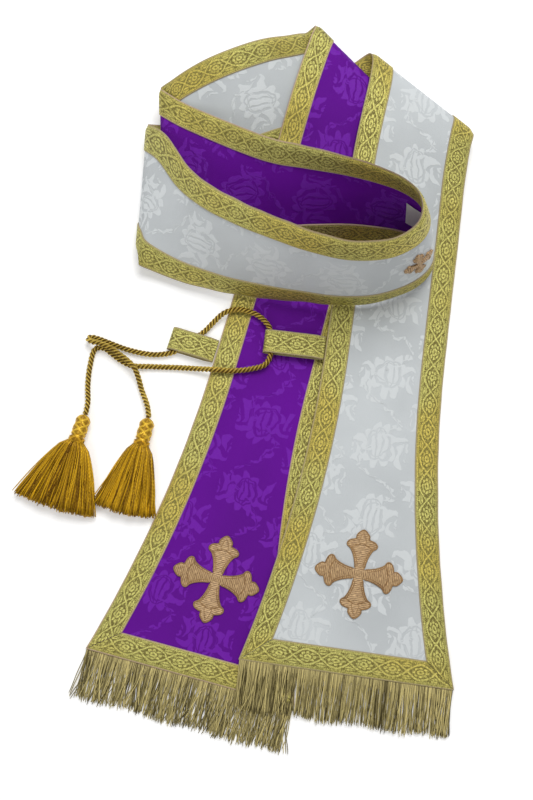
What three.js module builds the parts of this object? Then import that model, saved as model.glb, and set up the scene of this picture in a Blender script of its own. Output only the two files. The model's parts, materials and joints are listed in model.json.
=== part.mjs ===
// A reversible clergy stole, laid down in loose loops: white damask on one side and purple on the
// other, bound with woven galloon, fringed at both ends, with two keeper loops on its inner edge
// that a gold cord with two tassels is threaded through.
// Millimetres, +Z up. X runs across the two hanging ends and +Y from the fringe to the loops.
// The origin is on the floor below the middle of the stole.
//
// The cloth is one long strip. Its purple side is +n, and its inner edge, which lies against the
// wearer's neck, is +v. Length u runs from the fringe under the purple end to the other fringe.
import * as THREE from 'three';

// ---------------------------------------------------------------- driving dimensions
const END_WIDTH = 175;          // width at each fringe
const BODY_WIDTH = 107;         // width where the flare begins
const NECK_WIDTH = 90;          // width at the seam behind the neck
const FLARE_LENGTH = 260;       // length of each flared end
const GALLOON_WIDTH = 20;       // woven border
const GALLOON_THICK = 0.7;
const FACE_THICK = 0.5;         // damask
const LINING_THICK = 0.8;       // interlining between the two damasks
const GAP = 0.3;                // clearance between neighbouring pieces
const BULGE = 5;                // how far a standing loop bulges across its width

const FRINGE_LENGTH = 40;
const FRINGE_THICK = 3;
const TAPE_WIDTH = 7;           // woven heading of the fringe, sewn between the layers

const CROSS_SPAN = 72;          // from tip to tip
const CROSS_UP = 81;            // from the end of the cloth to the middle of its cross
const CROSS_THICK = 0.8;
const NECK_CROSS_SPAN = 22;
const NECK_CROSS_AT = 33;       // from the neck seam
const LABEL_LENGTH = 14;
const LABEL_HEIGHT = 26;
const LABEL_AT = 4;             // from the neck seam to the label's near edge
const TRIM_THICK = 0.6;         // neck cross and label

const KEEPER_UP = 266;          // from each end of the cloth to the middle of its keeper loop
const KEEPER_WALL = 0.8;
const KEEPER_SEAT = 0.7;        // between its sewn end and the edge of the cloth
const KEEPER_REACH_A = 41;      // from the edge of the cloth to the folded end
const KEEPER_REACH_B = 52;
const KEEPER_B_HEIGHT = 9.7;    // this loop lies on the purple end
const CORD_DIAMETER = 5;
const CORD_ROOM = 0.4;          // clearance of the cord in a keeper

const HEAD_DIAMETER = 13;       // tassel
const HEAD_LENGTH = 25;
const COLLAR_THICK = 1.2;
const COLLAR_LENGTH = 5;
const SKIRT_LENGTH = 58;
const SKIRT_THICK = 11;         // at the tassel's foot
const KEEPER_SLIT = 9;          // from the sewn end of a keeper to its opening
const STEP = 45;                // longest step along the cloth
const ORIGIN = [13.4, 24.1, 0]; // the floor point below the middle, in the coordinates below

// ---------------------------------------------------------------- layers, measured along n
const LINING = [-LINING_THICK / 2, LINING_THICK / 2];
const PURPLE_FACE = above(LINING, FACE_THICK);
const PURPLE_TRIM = above(PURPLE_FACE, GALLOON_THICK);
const WHITE_FACE = below(LINING, FACE_THICK);
const WHITE_TRIM = below(WHITE_FACE, GALLOON_THICK);

function above(layer, thick) {
  return [layer[1] + GAP, layer[1] + GAP + thick];
}

function below(layer, thick) {
  return [layer[0] - GAP - thick, layer[0] - GAP];
}

// ---------------------------------------------------------------- materials
const PURPLE = fabric(0x55108c, 0.6, 0);
const WHITE = fabric(0xe8e9ea, 0.6, 0);
const LINEN = fabric(0xd8d2c2, 0.9, 0);
const GOLD_WEAVE = fabric(0x9a8a45, 0.5, 0.3);
const COPPER_WEAVE = fabric(0xb08a58, 0.5, 0.2);
const FRINGE_THREAD = fabric(0xa39a6a, 0.8, 0);
const SILK_GOLD = fabric(0xb07d10, 0.5, 0.1);
const CORD_GOLD = fabric(0x9d7a1c, 0.5, 0.2);

function fabric(color, roughness, metalness) {
  return new THREE.MeshStandardMaterial({ color, roughness, metalness });
}

// ---------------------------------------------------------------- where the cloth lies
// Each row is the middle line's x, y, z, then the heading and the rise in degrees of the line
// across the cloth, from its outer to its inner edge. A crease has two more numbers: the radius
// that the middle line turns on, positive where the cloth folds over and negative where it folds
// under, and the degrees by which the two layers open towards the inner edge.
const ROUTE = [
  [-62, -229, 2.5, 165, 0],
  [-3, -8, 2.9, 165, 0.3],
  [26, 98, 4.5, 164, 1],
  [53, 198, 11.5, 160, 5],
  [67, 250, 21, 153, 12],
  [81, 301, 17, 139, 9, -5.5, 3.3],
  [57, 288, 15.5, 121, 10],
  [33, 278, 21, 117, 16],
  [10, 268, 29, 114, 25],
  [-25, 254, 31, 112, 26],
  [-60, 238, 25, 104, 17],
  [-94, 218, 18.3, 91, 8, 3.5, 0],
  [-67, 201, 28, 76, 15],
  [-30, 181, 38, 72, 29],
  [4, 166, 48, 76, 41],
  [33, 160, 56, 82, 52],
  [60, 156, 60, 85, 61],
  [90, 150, 62, 90, 69],
  [113, 143, 62, 105, 75],
  [130, 133, 60, 130, 76],
  [133, 118, 59, 148, 75],
  [121, 105, 58, 140, 74],
  [104, 97, 58, 128, 74],
  [86, 93, 58, 112, 74],
  [66, 93, 57, 97, 73],
  [42, 97, 56, 84, 71],
  [9, 106, 52, 74, 64],
  [-22, 116, 48, 71, 56],
  [-52, 129, 43, 69, 47],
  [-77, 145, 36, 68, 34],
  [-95, 163, 31, 71, 19],
  [-110, 188, 13.8, 83, 4, -11.5, 4],
  [-50, 213, 2.3, 108, 0],
  [20, 238, 2.3, 109, 0],
  [85, 261, 2.3, 115, 0],
  [137, 279, 11.5, 141, 1.5, 9.2, 1.5],
  [125, 207, 18.5, 166, 3],
  [116, 140, 11, 171, 3],
  [107, 78, 7.5, 172, 3],
  [92, -28, 6.2, 172, 3],
  [64, -227, 6.2, 172, 2.4],
];
const NECK_ROW = 19;            // the row at the seam behind the neck
// The rows where each half of both damasks is cut, so that no solid turns round two loops.
const CUT_ROWS = { a: [0, 3, 8, 14, NECK_ROW], b: [NECK_ROW, 24, 28, 33, 37, 40] };
const CREASE_STEPS = 6;         // facets round a crease

const UP = new THREE.Vector3(0, 0, 1);

function direction(heading, rise = 0) {
  const a = THREE.MathUtils.degToRad(heading);
  const b = THREE.MathUtils.degToRad(rise);
  return new THREE.Vector3(Math.cos(a) * Math.cos(b), Math.sin(a) * Math.cos(b), Math.sin(b));
}

// A crease becomes a half circle about the line across the cloth. A slanted crease also shifts
// the middle line along itself, so that the cloth is not stretched.
function creaseStations(row, before, after) {
  const [x, y, z, heading, rise, turn, opening] = row;
  const middle = new THREE.Vector3(x, y, z);
  const across = direction(heading, rise);
  const into = middle.clone().sub(before).normalize();
  const out = after.clone().sub(middle).normalize();
  const slant = into.clone().sub(out).setZ(0).normalize();
  const outward = slant.clone().addScaledVector(across, -slant.dot(across)).normalize();
  const upward = new THREE.Vector3().crossVectors(outward, across).normalize();
  if (upward.z < 0) upward.negate();
  const radius = Math.abs(turn);
  const along = Math.abs(into.dot(across)) < Math.abs(out.dot(across))
    ? into.dot(across) : out.dot(across);
  const shift = Math.PI * radius * along / Math.sqrt(1 - along * along);
  const cone = Math.tan(THREE.MathUtils.degToRad(opening));
  const stations = [];
  for (let k = 0; k <= CREASE_STEPS; k += 1) {
    const angle = Math.PI * k / CREASE_STEPS;
    const spoke = outward.clone().multiplyScalar(Math.sin(angle))
      .addScaledVector(upward, -Math.sign(turn) * Math.cos(angle));
    const centre = middle.clone()
      .addScaledVector(spoke, radius)
      .addScaledVector(outward, -radius)
      .addScaledVector(across, shift * (k / CREASE_STEPS - 0.5));
    stations.push({ centre, across: across.clone().addScaledVector(spoke, cone).normalize() });
  }
  return stations;
}

function knots() {
  const place = (row) => new THREE.Vector3(row[0], row[1], row[2]);
  return ROUTE.flatMap((row, k) => {
    if (row.length > 5) return creaseStations(row, place(ROUTE[k - 1]), place(ROUTE[k + 1]));
    return [{ centre: place(row), across: direction(row[3], row[4]), row: k }];
  });
}

// Stations along the cloth: the middle point, the tangent t, the perpendicular in the cloth l,
// the normal n on the purple side, the slant of the line across, and the length u so far.
function layCloth() {
  const rows = knots();
  const middle = new THREE.CatmullRomCurve3(rows.map((row) => row.centre), false, 'centripetal');
  const across = new THREE.CatmullRomCurve3(rows.map((row) => row.across), false, 'centripetal');
  const last = rows.length - 1;
  const params = [];
  const stationOfRow = {};
  for (let k = 0; k < last; k += 1) {
    stationOfRow[rows[k].row] = params.length;
    const steps = Math.ceil(rows[k].centre.distanceTo(rows[k + 1].centre) / STEP);
    for (let j = 0; j < steps; j += 1) params.push((k + j / steps) / last);
  }
  stationOfRow[rows[last].row] = params.length;
  params.push(1);
  let u = 0;
  const stations = params.map((param, k) => {
    const centre = middle.getPoint(param);
    if (k > 0) u += centre.distanceTo(middle.getPoint(params[k - 1]));
    const t = middle.getPoint(Math.min(param + 1e-4, 1));
    t.sub(middle.getPoint(Math.max(param - 1e-4, 0))).normalize();
    const d = across.getPoint(param).normalize();
    const along = d.dot(t);
    const l = d.clone().addScaledVector(t, -along).normalize();
    const n = new THREE.Vector3().crossVectors(t, l);
    return { centre, t, l, n, u, tan: along / Math.sqrt(1 - along * along), lift: d.z };
  });
  return { stations, stationOfRow };
}

const { stations: CLOTH, stationOfRow: STATION_OF_ROW } = layCloth();
const NECK = STATION_OF_ROW[NECK_ROW];
const NECK_AT = CLOTH[NECK].u;
const LENGTH = CLOTH[CLOTH.length - 1].u;

function widthAt(u) {
  const fromEnd = Math.max(Math.min(u, LENGTH - u), 0);
  const share = u < NECK_AT ? fromEnd / NECK_AT : fromEnd / (LENGTH - NECK_AT);
  const body = BODY_WIDTH + (NECK_WIDTH - BODY_WIDTH) * share;
  const flare = Math.max(1 - fromEnd / FLARE_LENGTH, 0);
  return body + (END_WIDTH - BODY_WIDTH) * flare * flare;
}

// The distance v at which a slanted line across reaches a share of the half width, less an inset.
function reach(station, share, inset) {
  let v = 0;
  for (let k = 0; k < 6; k += 1) {
    v = share * (widthAt(station.u + v * station.tan) / 2 - inset);
  }
  return v;
}

// A point of the cloth at the distance v from its middle line and n from its middle layer.
function onCloth(station, v, n) {
  const half = widthAt(station.u) / 2;
  const bulge = BULGE * station.lift * station.lift * Math.max(1 - (v / half) ** 2, 0);
  return station.centre.clone()
    .addScaledVector(station.l, v)
    .addScaledVector(station.t, v * station.tan)
    .addScaledVector(station.n, n - bulge);
}

// The station at a length u, between the two computed ones beside it.
function stationAt(u) {
  let k = 1;
  while (k < CLOTH.length - 1 && CLOTH[k].u < u) k += 1;
  const [a, b] = [CLOTH[k - 1], CLOTH[k]];
  const share = (u - a.u) / (b.u - a.u);
  const mix = (name) => a[name].clone().lerp(b[name], share);
  const t = mix('t').normalize();
  const l = mix('l').addScaledVector(t, -mix('l').dot(t)).normalize();
  return {
    centre: mix('centre'), t, l, n: new THREE.Vector3().crossVectors(t, l), u,
    tan: a.tan + (b.tan - a.tan) * share, lift: a.lift + (b.lift - a.lift) * share,
  };
}

// ---------------------------------------------------------------- solids
// A closed slab over a grid: point(row, column, side) gives each corner, side 0 below and 1 above.
function slab(rows, columns, point) {
  const positions = [];
  const faces = [];
  const index = (i, j, side) => (i * (columns + 1) + j) * 2 + side;
  for (let i = 0; i <= rows; i += 1) {
    for (let j = 0; j <= columns; j += 1) {
      positions.push(...point(i, j, 0).toArray(), ...point(i, j, 1).toArray());
    }
  }
  const quad = (a, b, c, d) => faces.push(a, b, c, a, c, d);
  for (let i = 0; i < rows; i += 1) {
    for (let j = 0; j < columns; j += 1) {
      quad(index(i, j, 1), index(i + 1, j, 1), index(i + 1, j + 1, 1), index(i, j + 1, 1));
      const [a, b] = [index(i, j, 0), index(i + 1, j, 0)];
      const [c, d] = [index(i + 1, j + 1, 0), index(i, j + 1, 0)];
      faces.push(a, c, b, a, d, c);
    }
    quad(index(i, 0, 0), index(i + 1, 0, 0), index(i + 1, 0, 1), index(i, 0, 1));
    quad(index(i, columns, 1), index(i + 1, columns, 1), index(i + 1, columns, 0),
      index(i, columns, 0));
  }
  for (let j = 0; j < columns; j += 1) {
    quad(index(0, j, 1), index(0, j + 1, 1), index(0, j + 1, 0), index(0, j, 0));
    quad(index(rows, j, 0), index(rows, j + 1, 0), index(rows, j + 1, 1), index(rows, j, 1));
  }
  const geometry = new THREE.BufferGeometry();
  geometry.setAttribute('position', new THREE.Float32BufferAttribute(positions, 3));
  geometry.setIndex(faces);
  return geometry;
}

// The cloth's grid lines, each a share of the half width and an inset from the edge: the outer
// edge, the border's edge, the middle, and the same again.
const COLUMNS = [[-1, 0], [-1, GALLOON_WIDTH], [0, 0], [1, GALLOON_WIDTH], [1, 0]];

function band(stations, columns, layer) {
  return slab(stations.length - 1, columns.length - 1, (i, j, side) => {
    const [share, inset] = columns[j];
    return onCloth(stations[i], reach(stations[i], share, inset), layer[side]);
  });
}

function between(from, to) {
  const inside = CLOTH.filter((station) => station.u > from + 1 && station.u < to - 1);
  return [stationAt(from), ...inside, stationAt(to)];
}

// The cloth is two halves, seamed at the neck with a hair's gap. The damasks have more cuts.
function cutStation(k, way) {
  const station = CLOTH[k];
  const centre = station.centre.clone().addScaledVector(station.t, way * GAP / 2);
  return { ...station, centre };
}

function halfCloth(half, inset) {
  if (half === 'a') {
    return [...between(inset, NECK_AT).slice(0, -1), cutStation(NECK, -1)];
  }
  return [cutStation(NECK, 1), ...between(NECK_AT, LENGTH - inset).slice(1)];
}

function cutLength(fromRow, toRow) {
  const [from, to] = [STATION_OF_ROW[fromRow], STATION_OF_ROW[toRow]];
  return [cutStation(from, from > 0 ? 1 : 0), ...CLOTH.slice(from + 1, to),
    cutStation(to, to < CLOTH.length - 1 ? -1 : 0)];
}

// ---------------------------------------------------------------- cross
// Equal arms that swell into a trefoil: the outline of one arm, repeated on the four sides.
function crossShape(span) {
  const s = span / 72;
  const stem = 4.5 * s;
  const shape = new THREE.Shape();
  for (let k = 0; k < 4; k += 1) {
    const spin = (x, y) => {
      const [c, d] = [[1, 0], [0, 1], [-1, 0], [0, -1]][k];
      return [x * c - y * d, x * d + y * c];
    };
    const start = spin(stem, -stem);
    if (k === 0) shape.moveTo(...start);
    else shape.lineTo(...start);
    shape.quadraticCurveTo(...spin(15 * s, -stem), ...spin(23 * s, -8 * s));
    shape.bezierCurveTo(...spin(20 * s, -14 * s), ...spin(28 * s, -15 * s), ...spin(28.5 * s, -8 * s));
    shape.quadraticCurveTo(...spin(32 * s, -6 * s), ...spin(36 * s, 0));
    shape.quadraticCurveTo(...spin(32 * s, 6 * s), ...spin(28.5 * s, 8 * s));
    shape.bezierCurveTo(...spin(28 * s, 15 * s), ...spin(20 * s, 14 * s), ...spin(23 * s, 8 * s));
    shape.quadraticCurveTo(...spin(15 * s, stem), ...spin(stem, stem));
  }
  return shape;
}

// Sets a flat piece, drawn in the local X (along u) and Y (along v), on one side of the cloth.
function sewOn(mesh, u, v, n) {
  const { centre, t, l, n: normal, tan, lift } = stationAt(u);
  const basis = new THREE.Matrix4().makeBasis(t, l, normal);
  mesh.quaternion.setFromRotationMatrix(basis);
  mesh.position.copy(onCloth({ centre, t, l, n: normal, tan, lift, u }, v, n));
  return mesh;
}

function extruded(shape, depth, curveSegments) {
  return new THREE.ExtrudeGeometry(shape, { depth, bevelEnabled: false, curveSegments });
}

// ---------------------------------------------------------------- build
const stole = new THREE.Group();
stole.position.set(-ORIGIN[0], -ORIGIN[1], -ORIGIN[2]);

function add(name, geometry, material, parent = stole) {
  const mesh = new THREE.Mesh(geometry, material);
  mesh.name = name;
  parent.add(mesh);
  return mesh;
}

for (const half of ['a', 'b']) {
  CUT_ROWS[half].slice(1).forEach((row, k) => {
    const length = cutLength(CUT_ROWS[half][k], row);
    add(`purple_face_${half}${k + 1}`, band(length, COLUMNS, PURPLE_FACE), PURPLE);
    add(`white_face_${half}${k + 1}`, band(length, COLUMNS, WHITE_FACE), WHITE);
  });
  add(`interlining_${half}`, band(halfCloth(half, TAPE_WIDTH + GAP), COLUMNS, LINING), LINEN);
}

const WHOLE = between(0, LENGTH);
for (const [side, layer] of [['purple', PURPLE_TRIM], ['white', WHITE_TRIM]]) {
  add(`${side}_galloon_outer`, band(WHOLE, COLUMNS.slice(0, 2), layer), GOLD_WEAVE);
  add(`${side}_galloon_inner`, band(WHOLE, COLUMNS.slice(3), layer), GOLD_WEAVE);
}

// The galloon across each end lies between the two long ones.
const END_COLUMNS = [[-1, GALLOON_WIDTH + GAP], [0, 0], [1, GALLOON_WIDTH + GAP]];
for (const [half, from, to] of [['a', 0, GALLOON_WIDTH], ['b', LENGTH - GALLOON_WIDTH, LENGTH]]) {
  for (const [side, layer] of [['purple', PURPLE_TRIM], ['white', WHITE_TRIM]]) {
    add(`${side}_galloon_end_${half}`, band(between(from, to), END_COLUMNS, layer), GOLD_WEAVE);
  }
}

// The fringe hangs from a woven tape that is sewn between the layers.
function fringe(half) {
  const [end, out] = half === 'a' ? [CLOTH[0], -1] : [CLOTH[CLOTH.length - 1], 1];
  const along = (v, from, n) => onCloth(end, v, n).addScaledVector(end.t, out * from);
  const stations = out < 0 ? [FRINGE_LENGTH, GAP] : [GAP, FRINGE_LENGTH];
  const halfWidth = END_WIDTH / 2;
  const rise = half === 'a' ? FRINGE_THICK / 2 + GAP - end.centre.z : 0;
  const geometry = slab(1, 8, (i, j, side) => {
    const v = halfWidth * (j / 4 - 1);
    const n = (side - 0.5) * FRINGE_THICK;
    const tip = stations[i] > GAP ? 1 : 0;
    return along(v, stations[i], n).addScaledVector(UP, rise * tip);
  });
  add(`fringe_${half}`, geometry, FRINGE_THREAD);
}
fringe('a');
fringe('b');
add('fringe_tape_a', band(between(0, TAPE_WIDTH), COLUMNS, LINING), LINEN);
add('fringe_tape_b', band(between(LENGTH - TAPE_WIDTH, LENGTH), COLUMNS, LINING), LINEN);

// A cross on each side of each end.
const crossGeometry = extruded(crossShape(CROSS_SPAN), CROSS_THICK, 4);
for (const [half, u] of [['a', CROSS_UP], ['b', LENGTH - CROSS_UP]]) {
  sewOn(add(`purple_cross_${half}`, crossGeometry, COPPER_WEAVE), u, 0, PURPLE_TRIM[0]);
  sewOn(add(`white_cross_${half}`, crossGeometry, COPPER_WEAVE), u, 0,
    WHITE_TRIM[1] - CROSS_THICK);
}

// At the neck, a small cross on the white side, and a blank label on the purple side that follows
// the bend of the cloth.
const NECK_CROSS_CLEAR = 0.5;
const LABEL_CLEAR = 1.4;
sewOn(add('neck_cross', extruded(crossShape(NECK_CROSS_SPAN), TRIM_THICK, 2), COPPER_WEAVE),
  NECK_AT + NECK_CROSS_AT, 0, WHITE_FACE[0] - TRIM_THICK - NECK_CROSS_CLEAR);

function bentPatch(u, length, height, layer) {
  const stations = [-0.5, 0, 0.5].map((share) => stationAt(u + share * length));
  return slab(2, 2, (i, j, side) => {
    return onCloth(stations[i], height * (j / 2 - 0.5), layer[side]);
  });
}
const LABEL_LAYER = [PURPLE_FACE[1] + LABEL_CLEAR, PURPLE_FACE[1] + LABEL_CLEAR + TRIM_THICK];
add('neck_label', bentPatch(NECK_AT - LABEL_AT - LABEL_LENGTH / 2, LABEL_LENGTH, LABEL_HEIGHT,
  LABEL_LAYER), LINEN);

// ---------------------------------------------------------------- keeper loops
// Galloon folded double and sewn to the inner edge, open enough for the cord to pass through.
const KEEPER_HALF = CORD_DIAMETER / 2 + CORD_ROOM + KEEPER_WALL;

function keeper(name, u, out, height, heading) {
  const bore = KEEPER_HALF - KEEPER_WALL;
  const tip = out - KEEPER_HALF;
  const shape = new THREE.Shape();
  shape.moveTo(0, -KEEPER_WALL - GAP);
  shape.lineTo(KEEPER_SLIT, -KEEPER_HALF);
  shape.lineTo(tip, -KEEPER_HALF);
  shape.absarc(tip, 0, KEEPER_HALF, -Math.PI / 2, Math.PI / 2, false);
  shape.lineTo(KEEPER_SLIT, KEEPER_HALF);
  shape.lineTo(0, KEEPER_WALL + GAP);
  shape.closePath();
  const slit = new THREE.Path();
  slit.moveTo(KEEPER_SLIT / 2, 0);
  slit.lineTo(KEEPER_SLIT, bore);
  slit.lineTo(tip, bore);
  slit.absarc(tip, 0, bore, Math.PI / 2, -Math.PI / 2, true);
  slit.lineTo(KEEPER_SLIT, -bore);
  slit.closePath();
  shape.holes.push(slit);
  const geometry = extruded(shape, GALLOON_WIDTH, 4).translate(0, 0, -GALLOON_WIDTH / 2);
  const station = stationAt(u);
  const edge = onCloth(station, widthAt(u) / 2 + KEEPER_SEAT, 0);
  const away = direction(heading);
  const basis = new THREE.Matrix4()
    .makeBasis(away, UP, new THREE.Vector3().crossVectors(away, UP));
  const mesh = add(name, geometry, GOLD_WEAVE);
  mesh.quaternion.setFromRotationMatrix(basis);
  mesh.position.set(edge.x, edge.y, height);
}
keeper('keeper_loop_a', KEEPER_UP, KEEPER_REACH_A, KEEPER_HALF, 163);
keeper('keeper_loop_b', LENGTH - KEEPER_UP, KEEPER_REACH_B, KEEPER_B_HEIGHT, 173);

// ---------------------------------------------------------------- cord
// From one tassel it lies on the floor, crosses the purple end, runs through both keepers and
// comes back to the other tassel; near the tassels the two strands cross.
const CORD_ROUTE = [
  [-152.5, -13.9, 7.1], [-151, -3.4, 6], [-152, 12, 2.9], [-150.5, 30, 2.9],
  [-146.5, 44, 2.9], [-139, 44.5, 2.9], [-132, 39.5, 2.9], [-124, 33.5, 2.9],
  [-115.5, 29.5, 2.9], [-99, 28.5, 2.9], [-74, 27.5, 2.9], [-58, 26, 5.2],
  [-45, 24.5, 8.8], [-27, 23.5, 8.8], [-13, 25, 9.1], [-1.5, 28.5, 9.6],
  [3, 36, 9.7], [3.5, 50, 9.7], [2.5, 61, 9.6], [-6.5, 71.5, 9.1],
  [-18.5, 76.5, 9.2], [-28, 77, 9.4], [-37, 74, 8.2], [-46, 66.5, 5],
  [-53, 59.5, 3.7], [-62, 53, 3.7], [-71, 46.5, 3.7], [-80, 41, 3.6],
  [-93, 39, 2.9], [-105, 40, 2.9], [-121, 44, 2.9], [-134, 49, 2.9],
  [-144.5, 53, 3], [-151, 54, 4.4], [-152, 51, 7], [-148.5, 49, 8.8],
  [-142, 47.5, 9], [-133, 43.5, 9], [-124.5, 37.5, 9], [-117, 31.5, 9],
  [-112, 26, 8.6], [-109, 19, 5.4], [-106, 8, 3], [-100.8, -6, 5.4],
  [-99, -16.5, 7.1],
];
const CORD_SIDES = 10;
const CORD_STEPS = 76;

function circle(radius, sides) {
  const shape = new THREE.Shape();
  for (let k = 0; k < sides; k += 1) {
    const angle = 2 * Math.PI * k / sides;
    const corner = [radius * Math.cos(angle), radius * Math.sin(angle)];
    if (k === 0) shape.moveTo(...corner);
    else shape.lineTo(...corner);
  }
  shape.closePath();
  return shape;
}

const cordCurve = new THREE.CatmullRomCurve3(
  CORD_ROUTE.map((point) => new THREE.Vector3(...point)), false, 'centripetal');
add('cord', new THREE.ExtrudeGeometry(circle(CORD_DIAMETER / 2, CORD_SIDES), {
  steps: CORD_STEPS, extrudePath: cordCurve,
}), CORD_GOLD);

// ---------------------------------------------------------------- tassels
// A wrapped head, a collar round its foot, and a skirt of threads that fans out on the floor. Each
// tassel turns about the middle of its domed top, where the cord ends.
const HEAD_RADIUS = HEAD_DIAMETER / 2;
const COLLAR_BORE = HEAD_RADIUS - 1;
const COLLAR_RADIUS = COLLAR_BORE + GAP + COLLAR_THICK;

function headGeometry() {
  const profile = [new THREE.Vector2(0, HEAD_RADIUS)];
  for (let k = 1; k <= 4; k += 1) {
    const angle = Math.PI / 2 * (1 - k / 4);
    profile.push(new THREE.Vector2(HEAD_RADIUS * Math.cos(angle), HEAD_RADIUS * Math.sin(angle)));
  }
  const foot = HEAD_RADIUS - HEAD_LENGTH;
  profile.push(new THREE.Vector2(HEAD_RADIUS, foot + COLLAR_LENGTH + 2));
  profile.push(new THREE.Vector2(COLLAR_BORE, foot + COLLAR_LENGTH + 1));
  profile.push(new THREE.Vector2(COLLAR_BORE, foot));
  profile.push(new THREE.Vector2(0, foot));
  return new THREE.LatheGeometry(profile.reverse(), 16);
}

function collarGeometry() {
  const foot = HEAD_RADIUS - HEAD_LENGTH;
  const inside = COLLAR_BORE + GAP;
  const profile = [[inside, foot], [COLLAR_RADIUS, foot], [COLLAR_RADIUS, foot + COLLAR_LENGTH],
    [inside, foot + COLLAR_LENGTH], [inside, foot]];
  return new THREE.LatheGeometry(profile.map((point) => new THREE.Vector2(...point)), 16);
}

// Across the skirt each row is a flat oval, from the round neck to the spread foot.
function skirtGeometry(spread, drop) {
  const top = HEAD_RADIUS - HEAD_LENGTH - GAP;
  return slab(5, 6, (i, j, side) => {
    const share = i / 5;
    const wide = COLLAR_RADIUS + (spread / 2 - COLLAR_RADIUS) * Math.pow(share, 0.8);
    const thick = COLLAR_RADIUS + (SKIRT_THICK / 2 - COLLAR_RADIUS) * share;
    const across = j / 3 - 1;
    const high = thick * Math.sqrt(1 - 0.9 * across * across);
    const along = top - SKIRT_LENGTH * (share - 0.06 * share * across * across);
    return new THREE.Vector3(across * wide, along, (side * 2 - 1) * high - drop * share);
  });
}

const REST_HEIGHT = COLLAR_RADIUS + GAP / 2;
function tassel(half, x, y, heading, spread) {
  const group = new THREE.Group();
  const down = direction(heading);
  const basis = new THREE.Matrix4()
    .makeBasis(new THREE.Vector3().crossVectors(down.clone().negate(), UP), down.clone().negate(), UP);
  group.quaternion.setFromRotationMatrix(basis);
  group.position.set(x, y, REST_HEIGHT);
  stole.add(group);
  add(`tassel_${half}_head`, headGeometry(), SILK_GOLD, group);
  add(`tassel_${half}_collar`, collarGeometry(), CORD_GOLD, group);
  add(`tassel_${half}_skirt`, skirtGeometry(spread, REST_HEIGHT - SKIRT_THICK / 2 - GAP / 2),
    SILK_GOLD, group);
}
tassel('a', -154.5, -20.5, 253, 66);
tassel('b', -100.8, -23.6, 256, 49);

export default stole;
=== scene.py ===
# %% [markdown]
# # A reversible clergy stole
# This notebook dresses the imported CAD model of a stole: a long narrow vestment, white damask on one
# side and purple on the other, bound with woven gold galloon, fringed at both ends and laid down in
# loose loops, with a tasselled gold cord through two keeper loops. The CAD model is loaded first as
# a fixed frame, and every piece made here stands in for one or more of its nodes.

# %% Load the frame
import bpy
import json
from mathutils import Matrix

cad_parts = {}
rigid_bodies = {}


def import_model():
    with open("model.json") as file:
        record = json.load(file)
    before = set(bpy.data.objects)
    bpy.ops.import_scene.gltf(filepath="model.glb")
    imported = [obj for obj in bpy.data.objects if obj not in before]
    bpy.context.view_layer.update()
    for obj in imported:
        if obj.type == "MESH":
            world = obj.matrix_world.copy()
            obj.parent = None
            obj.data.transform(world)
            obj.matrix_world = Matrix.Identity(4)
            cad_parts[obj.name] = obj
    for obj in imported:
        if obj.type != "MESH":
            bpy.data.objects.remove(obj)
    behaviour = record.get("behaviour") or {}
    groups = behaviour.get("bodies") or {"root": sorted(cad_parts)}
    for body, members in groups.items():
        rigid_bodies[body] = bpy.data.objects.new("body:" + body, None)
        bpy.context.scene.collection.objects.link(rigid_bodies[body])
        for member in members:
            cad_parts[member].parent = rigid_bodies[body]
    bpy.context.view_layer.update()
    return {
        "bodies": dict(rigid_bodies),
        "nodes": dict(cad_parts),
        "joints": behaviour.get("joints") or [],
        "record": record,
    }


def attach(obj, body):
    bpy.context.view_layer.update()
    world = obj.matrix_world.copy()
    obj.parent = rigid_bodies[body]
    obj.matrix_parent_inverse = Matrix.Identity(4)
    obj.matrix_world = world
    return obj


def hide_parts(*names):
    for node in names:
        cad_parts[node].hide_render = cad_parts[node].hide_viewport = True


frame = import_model()

# %% [markdown]
# Lengths below are in millimetres, as a maker would measure them, and in the coordinates the cloth
# was laid out in. One function moves them to the frame, in metres from the floor point below the
# middle of the stole.

# %% Units and tools
import json
import math
import bpy
import numpy as np

MM = 0.001
ORIGIN = np.array([13.4, 24.1, 0.0])


def in_frame(points):
    """Layout millimetres to frame metres: take the origin away, then scale."""
    return (np.asarray(points, float) - ORIGIN) * MM


# %% [markdown]
# ## The camera
# The stole lies on the floor and is seen from almost straight above, a little from the fringed end.
# A 50 mm lens keeps the perspective gentle. The camera stands on a line that rises from the layout's
# own zero point, so its place follows from one distance and one elevation.

# %% Camera
VIEW_DISTANCE = 0.945
VIEW_ELEVATION = math.radians(78)
camera_data = bpy.data.cameras.new("camera")
camera_data.lens = 50
camera_data.sensor_width = 36
camera = bpy.data.objects.new("camera", camera_data)
camera.location = in_frame([0, 0, 0]) + VIEW_DISTANCE * np.array(
    [0, -math.cos(VIEW_ELEVATION), math.sin(VIEW_ELEVATION)])
camera.rotation_euler = (math.pi / 2 - VIEW_ELEVATION, 0, 0)
bpy.context.scene.collection.objects.link(camera)
bpy.context.scene.camera = camera
bpy.context.scene.view_settings.view_transform = "Standard"
print("camera at", [round(x, 3) for x in camera.location])

# %% [markdown]
# ## One smooth curve through chosen points
# The cord's route and the middle line of the cloth are both given as a few points. A centripetal
# Catmull-Rom curve passes through each of them without overshooting where they stand close
# together, as they do round a crease. It is worked out for all parameters at once.


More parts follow.
